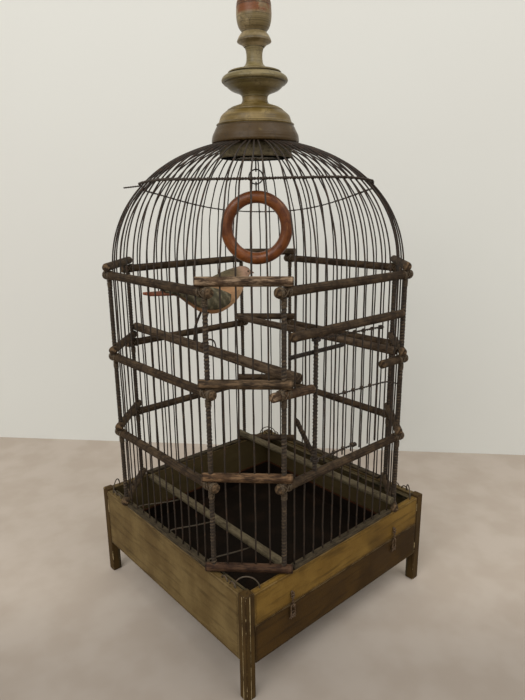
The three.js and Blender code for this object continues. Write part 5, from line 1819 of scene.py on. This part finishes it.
@dataclass
class Door:
    """The wire door on its rough post, and the bound rod behind it."""

    post_x: float = -50.3
    post_radius: float = 2.2
    stile_x: float = 49.2
    stile_radius: float = 1.2
    bottom: float = 227.0
    top: float = 361.5
    bars_stand_off: float = 1.35
    low_bar: tuple[float, float] = (234.8, 233.7)
    low_bar_end: float = 13.0
    high_bar: tuple[float, float] = (362.6, 359.2)
    high_bar_start: float = -6.0
    high_bar_end: float = 55.1
    latch_points: tuple[tuple[float, float], ...] = (
        (-26.9, 298.8),
        (22.0, 296.6),
        (59.7, 294.9),
        (74.0, 291.4),
        (87.8, 286.3),
    )
    latch_line: tuple[float, float] = (297.6, 0.045)
    strand: float = 0.62
    knot_radius: float = 1.9
    tail: tuple[tuple[float, float, float], ...] = (
        (-50.29, -144.7, 239.0),
        (-51.9, -141.6, 244.4),
        (-63.5, -141.2, 265.2),
        (-75.0, -141.4, 286.4),
    )
    tail_radius: float = 2.3
    rod_left: float = -83.0
    rod_right: float = -1.0
    rod_z: float = 348.0
    rod_radius: float = 2.1
    rod_wrap: float = 2.6
    rod_steps: int = 280

    def build(self) -> None:
        """Makes the post, the door and the rod."""
        self.post()
        self.door()
        self.inner_rod()

    def post(self) -> None:
        """The thick post, lumpy with rust, and the tail of wire that leans from it to the left."""
        s = SIZES
        z = np.linspace(s.lower_rail + s.rail_radius - 0.5, s.lintel - s.rail_radius + 0.5, 340)
        path = np.stack([np.full_like(z, self.post_x), np.full_like(z, -s.wall_offset), z], -1)

        def lumps(run: Array, angle: Array) -> Array:
            """Flakes of rust over the turns of a wrapping: products of sines that don't repeat."""
            flakes = 0.08 * np.sin(run * 1.3 + 2 * angle) * np.sin(run * 0.47 - angle)
            wrap = 2 * np.pi * run / CageWalls.rod_wrap - angle
            return 0.06 + flakes + CageWalls.rod_lumps * np.cos(wrap)

        near = np.clip(np.arange(60)[::-1] / 4, 0.1, 1) ** 0.5
        size = self.tail_radius * near
        bent = tubes(curve_through(np.array(self.tail), 60), size, [1.0, 0.2, 0.2], 12, lumps=lumps)
        shell = Shell.joined([tubes(path, self.post_radius, [0, -1, 0], 16, lumps=lumps), bent])
        add_piece("door_post", shell, Paint.ROD, ["door_hinge_post"])

    def rope(
        self, points: Sequence[Sequence[float]], pitch: float = 7.0, strand: Optional[float] = None
    ) -> Shell:
        """Two wires twisted together along a smooth line.

        Args:
            points: The line's points.
            pitch: Length of one full turn.
            strand: Radius of each wire, the door's own where it is left out.

        Returns:
            Both wires.
        """
        size = self.strand if strand is None else strand
        path = curve_through(np.array(points, dtype=float), 170)
        return tubes(twisted_pair(path, UP, size, pitch), size, UP, 8)

    def knots(self, places: Sequence[tuple[float, float]], y: float) -> list[Shell]:
        """Two slanting turns of wire round the crossing at each place of the door's plane."""
        slanting = [(1.0, 0.0, 0.6), (1.0, 0.0, -0.6)]
        return [
            tubes(ring_path((x, y, z), self.knot_radius, axis, 20), 0.5, axis, 6, closed=True, wear=0.5)
            for x, z in places
            for axis in slanting
        ]

    def door(self) -> None:
        """The door: plain uprights, and cross bars of two wires twisted together."""
        s = SIZES
        y = -s.wall_offset
        bars_y = y - self.bars_stand_off
        wires = (np.arange(6) - 2.5) * s.wire_pitch
        loop = self.post_radius + 0.9 + s.wire_radius
        (low_start, low_end), (high_start, high_end) = self.low_bar, self.high_bar
        start_x, end_x = self.post_x + self.high_bar_start, self.high_bar_end
        parts = [
            straight_wires(wires, y, self.bottom, self.top, s.wire_radius, 5, 0.3),
            straight_wires([self.stile_x], y, self.bottom, self.top, self.stile_radius, 6, 0.2),
            self.rope([(start_x, bars_y, high_start), (end_x, bars_y, high_end)]),
            self.rope([(self.post_x + loop, bars_y, low_start), (self.low_bar_end, bars_y, low_end)]),
            self.rope([(x, bars_y - 0.02 * max(x, 0), z) for x, z in self.latch_points], 8.0, 0.55),
        ]
        for height in (low_start, high_start - 0.6):
            for lift in (-0.9, 0.9):
                circle = ring_path((self.post_x, y, height + lift), loop, UP, 32)
                parts.append(tubes(circle, 0.7, UP, 8, closed=True))
        along = np.array([1.0, 0, 0])
        for x, z, turns in ((self.low_bar_end - 4.5, low_end, 3.5), (48.0, high_end + 0.4, 2.5)):
            curl = coil_path(np.array([x, bars_y, z]), along, UP, self.knot_radius, 1.35, turns)
            parts.append(tubes(curl, 0.55, [1.0, 0.1, 0.1], 8))
        slope = (high_end - high_start) / (end_x - self.post_x)
        latch_z, latch_fall = self.latch_line
        crossings = [(x, high_start + slope * (x - self.post_x)) for x in wires]
        crossings += [(x, latch_z - latch_fall * x) for x in wires[1:]]
        crossings += [(x, low_start - 0.3) for x in wires[:4]]
        parts.extend(self.knots(crossings, y - 0.7))
        add_piece("wire_door", Shell.joined(parts), Paint.WIRE, ["door"], "door")

    def inner_rod(self) -> None:
        """A rod wrapped in wire, lying across the inside of the post."""
        y = -SIZES.wall_offset + 2 * self.post_radius * 1.1 + 0.4
        path = np.linspace([self.rod_left, y, self.rod_z], [self.rod_right, y, self.rod_z], self.rod_steps)

        def lumps(run: Array, angle: Array) -> Array:
            """The turns of the wire wrapped round the rod."""
            return 0.11 * np.cos(2 * np.pi * run / self.rod_wrap + angle)

        step = np.arange(self.rod_steps)
        size = self.rod_radius * np.sqrt(np.clip(np.minimum(step, step[::-1]) / 12, 0.05, 1))
        add_piece("wrapped_rod", tubes(path, size, UP, 12, lumps=lumps), Paint.ROD, ["inner_rod"])


@dataclass
class ToyBird:
    """The toy bird: a body lofted along its back, folded wings, a tail, a beak and wire legs.

    Sections run from rump to brow: distance ahead of the feet, height of the middle over them, half width and
    half height.
    """

    feet: tuple[float, float, float] = (-79.03, 13.8, 335.7)
    stance: float = 9.5
    tail_root: float = 22.0
    tail_length: float = 46.0
    tail_spreads: tuple[float, ...] = (-5.0, -2.5, 0.0, 2.5, 5.0)
    sections: tuple[tuple[float, float, float, float], ...] = (
        (-40, 64.0, 4.6, 2.6),
        (-29, 62.6, 6.2, 4.6),
        (-18.6, 59.1, 7.8, 6.5),
        (-9.3, 55.5, 10.9, 10.2),
        (4.7, 52.1, 14.7, 16.4),
        (23.3, 52.5, 17.0, 21.2),
        (40.3, 57.0, 16.3, 22.0),
        (54.3, 62.8, 14.0, 19.2),
        (62.8, 69.4, 11.5, 13.6),
        (70.5, 74.4, 8.4, 8.4),
        (75.5, 75.4, 5.2, 5.4),
        (78.5, 75.2, 2.4, 2.6),
    )

    def build(self) -> None:
        """Makes the body with its wings and tail, and the legs."""
        shell, tint = self.plumage()
        bird = add_piece("bird_body", shell, Paint.BIRD, ["toy_bird"])
        layer = bird.data.attributes.new("tint", "FLOAT_COLOR", "POINT")
        layer.data.foreach_set("color", tint.astype(np.float32).ravel())
        add_piece("bird_legs", self.legs(), Paint.WIRE, ["toy_bird"])

    def form(self, ahead: Array) -> tuple[Array, Array, Array]:
        """The body's height, half width and half height at a distance ahead of the feet."""
        rows = curve_through(np.array(self.sections, dtype=float), 120)
        height, wide, tall = (np.interp(ahead, rows[:, 0], rows[:, k]) for k in (1, 2, 3))
        return height, wide, tall

    def body(self) -> Shell:
        """The body: ellipses carried along a smooth line from rump to brow."""
        rows = curve_through(np.array(self.sections, dtype=float), 90)
        angle = np.linspace(0, 2 * np.pi, 48, endpoint=False)
        ahead, height, wide, tall = (rows[:, k : k + 1] for k in range(4))
        x, y, z = self.feet
        across, up = wide * np.cos(angle), tall * np.sin(angle)
        grid = np.stack([x + ahead + np.zeros(48), y + across, z + height + up], -1)
        return grid_shell(grid, grid.copy(), np.zeros(grid.shape[:2]))

    def wing(self, side: int) -> Shell:
        """A folded wing: a leaf laid on the body's flank, from the shoulder over the rump."""
        t = np.linspace(0, 1, 60)[:, None]
        turn = np.linspace(0, 2 * np.pi, 28, endpoint=False)
        ahead = 36 - 80 * t
        height, wide, tall = self.form(ahead)
        middle = -0.3 + 0.9 * t
        span = np.clip(18 * np.sin(np.pi * (0.06 + 0.88 * t)) ** 0.7 * (1 - 0.45 * t) / tall, 0, 1.2)
        flank = middle + span * np.cos(turn)
        lift = 1.9 * np.sin(np.pi * (0.05 + 0.9 * t)) ** 0.5 * np.sin(turn) + 0.4
        x, y, z = self.feet
        grid = np.stack(
            [
                x + ahead + np.zeros(28),
                y + side * (wide + lift) * np.cos(flank),
                z + height + (tall + lift) * np.sin(flank),
            ],
            -1,
        )
        grid = grid if side > 0 else grid[:, ::-1]
        return grid_shell(grid, grid.copy(), np.zeros(grid.shape[:2]))

    def feather(self, spread: float, length: float, drop: float) -> Shell:
        """A tail feather: a flat leaf from the rump backwards."""
        t = np.linspace(0, 1, 24)[:, None]
        angle = np.linspace(0, 2 * np.pi, 14, endpoint=False)
        wide = 3.4 * np.clip(np.sin(np.pi * (0.12 + 0.86 * t)), 0.05, 1) ** 0.6
        x, y, z = self.feet
        grid = np.stack(
            [
                x - self.tail_root - length * t + np.zeros(14),
                y + spread * t + wide * np.cos(angle),
                z + 61.5 + 3.2 * t - drop + 2.4 * (1 - 0.4 * t) * np.sin(angle),
            ],
            -1,
        )
        return grid_shell(grid[::-1], grid[::-1].copy(), np.zeros(grid.shape[:2]))

    def beak(self) -> Shell:
        """A short cone that bends down at its tip."""
        t = np.linspace(0, 1, 10)
        x = self.feet[0] + 76 + 10 * t
        z = self.feet[2] + 75.0 - 1.8 * t**2
        path = np.stack([x, np.full_like(x, self.feet[1]), z], -1)
        return tubes(path, 3.0 * (1 - t) ** 0.8 + 0.12, UP, 14)

    def eye(self, side: int) -> Shell:
        """A small bead."""
        t = np.linspace(0.05, np.pi - 0.05, 8)
        centre = np.array(self.feet) + [69.5, side * 8.2, 77.2]
        path = centre + np.stack([np.zeros(8), side * -1.3 * np.cos(t), np.zeros(8)], -1)
        return tubes(path, 1.3 * np.sin(t), UP, 12)

    def plumage(self) -> tuple[Shell, Array]:
        """The bird's surfaces with a colour at each point.

        Returns:
            The joined shell, and an array of linear colours.
        """
        body = self.body()
        wings = [self.wing(-1), self.wing(1)]
        tail = [self.feather(s, self.tail_length - abs(s), 0.3 * abs(s)) for s in self.tail_spreads]
        beak, eyes = self.beak(), [self.eye(-1), self.eye(1)]
        tints = [self.coat(body)] + [self.bars(wing) for wing in wings]
        brown, brick = np.array(colour(84, 54, 38)), np.array(colour(132, 74, 52))
        for feather in tail:
            behind = self.feet[0] - self.tail_root - feather.points[:, 0]
            share = np.clip(behind / self.tail_length, 0, 1)[:, None]
            tints.append(brown + (brick - brown) * share)
        tints.append(np.tile(colour(132, 88, 60), (len(beak.points), 1)))
        tints.extend(np.tile(colour(20, 16, 12), (len(e.points), 1)) for e in eyes)
        return Shell.joined([body, *wings, *tail, beak, *eyes]), np.vstack(tints)

    def coat(self, body: Shell) -> Array:
        """The body's colours: a grey-green back, an orange to cream breast, and a pale pinkish head."""
        x = body.points[:, 0] - self.feet[0]
        z = body.points[:, 2] - self.feet[2]
        back, breast, cream = (np.array(colour(*c)) for c in ((76, 70, 50), (176, 130, 90), (190, 154, 116)))
        head, rump = np.array(colour(168, 134, 112)), np.array(colour(100, 70, 44))
        blends = (
            (cream, 1 / (1 + np.exp(-(x - 34 - 0.4 * (z - 40)) / 6))),
            (back, 1 / (1 + np.exp(-(z - (58 + 0.25 * x)) / 3))),
            (rump, 1 / (1 + np.exp((x + 10) / 4))),
            (head, 1 / (1 + np.exp(-(x - 58) / 3))),
        )
        tint = np.tile(breast, (len(x), 1))
        for other, share in blends:
            tint = tint + (other - tint) * share[:, None]
        return tint

    def bars(self, wing: Shell) -> Array:
        """A wing's colours: grey-green, darker to its tip, with pale scallops running slantwise."""
        x = wing.points[:, 0] - self.feet[0]
        z = wing.points[:, 2] - self.feet[2]
        grey, dark, pale = (np.array(colour(*c)) for c in ((80, 76, 58), (42, 38, 27), (138, 128, 102)))
        to_tip = np.clip((52 - x) / 96, 0, 1)[:, None]
        tint = grey + (dark - grey) * 0.7 * to_tip
        wave = np.sin(0.62 * x + 0.5 * z + 0.6 * np.sin(0.9 * z - 0.3 * x))
        line = np.clip(wave * 1.6 - 0.5, 0, 1)[:, None] * (0.6 - 0.3 * to_tip)
        return tint + (pale - tint) * line

    def legs(self) -> Shell:
        """Two wire legs, three toes each that curl over the perch, and a long claw that stands off it."""
        parts = []
        x, middle, top = self.feet
        dowel, wrap = Perches.radius, Perches.radius + 1.0
        for side in (-1, 1):
            y = middle + side * self.stance
            hip = [x + 15.5, middle + side * 5, top + 45.9]
            knee = [x + 3.0, middle + side * 8, top + 20]
            leg = np.array([hip, knee, [x + 1, y, top + 4], [x, y, top + 0.8]])
            parts.append(tubes(curve_through(leg, 24), 1.5, [0, 1, 0.1], 10))
            for spread in (-2.6, 0.0, 2.6):
                t = np.linspace(0, 1, 14)
                bend = np.radians(95) * t
                toe = [x + wrap * np.sin(bend), y + spread * t, top - dowel + wrap * np.cos(bend)]
                parts.append(tubes(np.stack(toe, -1), 0.95 * (1 - 0.4 * t), [0, 1, 0.05], 8))
        y = middle - self.stance
        bends = np.array([[-2, 0, 1], [7, -1, 4.5], [14, -2, 1], [16, -3, -9]]) + [x, y, top]
        claw = curve_through(bends, 24)
        parts.append(tubes(claw, np.linspace(1.35, 0.7, 24), [0, 1, 0.1], 8))
        return Shell.joined(parts)


# ------------------------------------------------------------------------------------------ studio


@dataclass
class Studio:
    """The camera, the lamps, the floor and the wall behind, in metres.

    Attributes:
        lamps: Each lamp's name, place, width and power; it shines at the target.
    """

    eye: tuple[float, float, float] = (-0.43945, -0.50898, 0.48888)
    right: tuple[float, float, float] = (0.74985, -0.66152, -0.01063)
    up: tuple[float, float, float] = (0.17296, 0.18049, 0.96825)
    frame_height_px: float = 700.0
    focal_px: float = 560.9
    sensor_height: float = 24.0
    floor_reach: float = 4.0
    wall_reach: float = 3.0
    wall_point: tuple[float, float] = (0.276, 0.312)
    wall_along: tuple[float, float] = (0.6755, -0.7373)
    daylight: tuple[float, float, float, float] = (1.0, 0.985, 0.96, 1.0)
    daylight_strength: float = 0.72
    target: tuple[float, float, float] = (0.0, 0.0, 0.3)
    lamps: tuple[tuple[str, tuple[float, float, float], float, float], ...] = (
        ("window", (-1.6, -0.5, 1.6), 1.4, 26.0),
        ("ceiling", (0.3, -1.6, 2.0), 1.6, 18.0),
    )

    def build(self) -> None:
        """Makes the camera, the light and the stage."""
        self.camera()
        self.stage()
        self.light()

    def camera(self) -> None:
        """The camera at the photograph's place."""
        data = bpy.data.cameras.new("camera")
        data.sensor_fit = "VERTICAL"
        data.sensor_height = self.sensor_height
        data.lens = self.focal_px * self.sensor_height / self.frame_height_px
        data.clip_start = 0.01
        made = bpy.data.objects.new("camera", data)
        right, up = np.array(self.right), np.array(self.up)
        axes = np.column_stack([right, up, np.cross(right, up)])
        matrix = np.eye(4)
        matrix[:3, :3] = axes
        matrix[:3, 3] = self.eye
        made.matrix_world = Matrix(matrix.tolist())
        bpy.context.scene.collection.objects.link(made)
        bpy.context.scene.camera = made

    def plane(self, name: str, corners: Array, finish: PlainSurface) -> None:
        """A flat stage piece through four corners in metres."""
        mesh = bpy.data.meshes.new(name)
        mesh.from_pydata([tuple(c) for c in corners], [], [(0, 1, 2, 3)])
        made = bpy.data.objects.new(name, mesh)
        bpy.context.scene.collection.objects.link(made)
        mesh.materials.append(finish.build())

    def stage(self) -> None:
        """A pale floor, and a white wall that meets it behind the cage."""
        floor = self.floor_reach * np.array([[-1.0, -1, 0], [1, -1, 0], [1, 1, 0], [-1, 1, 0]])
        # The floor's last value is painted shade, darker nearer the camera.
        cloth = PlainSurface("floor_cloth", colour(182, 170, 157), colour(174, 161, 147), 14.0, 0.32)
        self.plane("floor", floor, cloth)
        point = np.array([*self.wall_point, 0.0])
        along = self.wall_reach * np.array([*self.wall_along, 0.0])
        rise = self.wall_reach * UP
        wall = np.array([point - along, point + along, point + along + rise, point - along + rise])
        paint = PlainSurface("wall_paint", colour(213, 213, 206), colour(211, 210, 203), 1.0, one_sided=True)
        self.plane("wall", wall, paint)

    def light(self) -> None:
        """A plain even world and two large soft lamps."""
        scene = bpy.context.scene
        scene.world = bpy.data.worlds.new("room")
        scene.world.use_nodes = True
        background = scene.world.node_tree.nodes["Background"]
        background.inputs["Color"].default_value = self.daylight
        background.inputs["Strength"].default_value = self.daylight_strength
        for name, place, size, power in self.lamps:
            data = bpy.data.lights.new(name, "AREA")
            data.size = size
            data.energy = power
            lamp = bpy.data.objects.new(name, data)
            back = unit(np.array(place) - np.array(self.target))
            side = unit(np.cross(UP, back))
            matrix = np.eye(4)
            matrix[:3, :3] = np.column_stack([side, np.cross(back, side), back])
            matrix[:3, 3] = place
            lamp.matrix_world = Matrix(matrix.tolist())
            scene.collection.objects.link(lamp)
        scene.view_settings.view_transform = "Standard"


def main() -> None:
    """Builds the cage's pieces in order."""
    logging.basicConfig(level=logging.INFO, format="%(name)s: %(message)s")
    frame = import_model()
    Studio().build()
    WoodenBase(frame).build()
    CageWalls().build()
    Dome().build()
    Finial().build()
    Swing().build()
    Perches().build()
    Door().build()
    ToyBird().build()


if __name__ == "__main__":
    main()
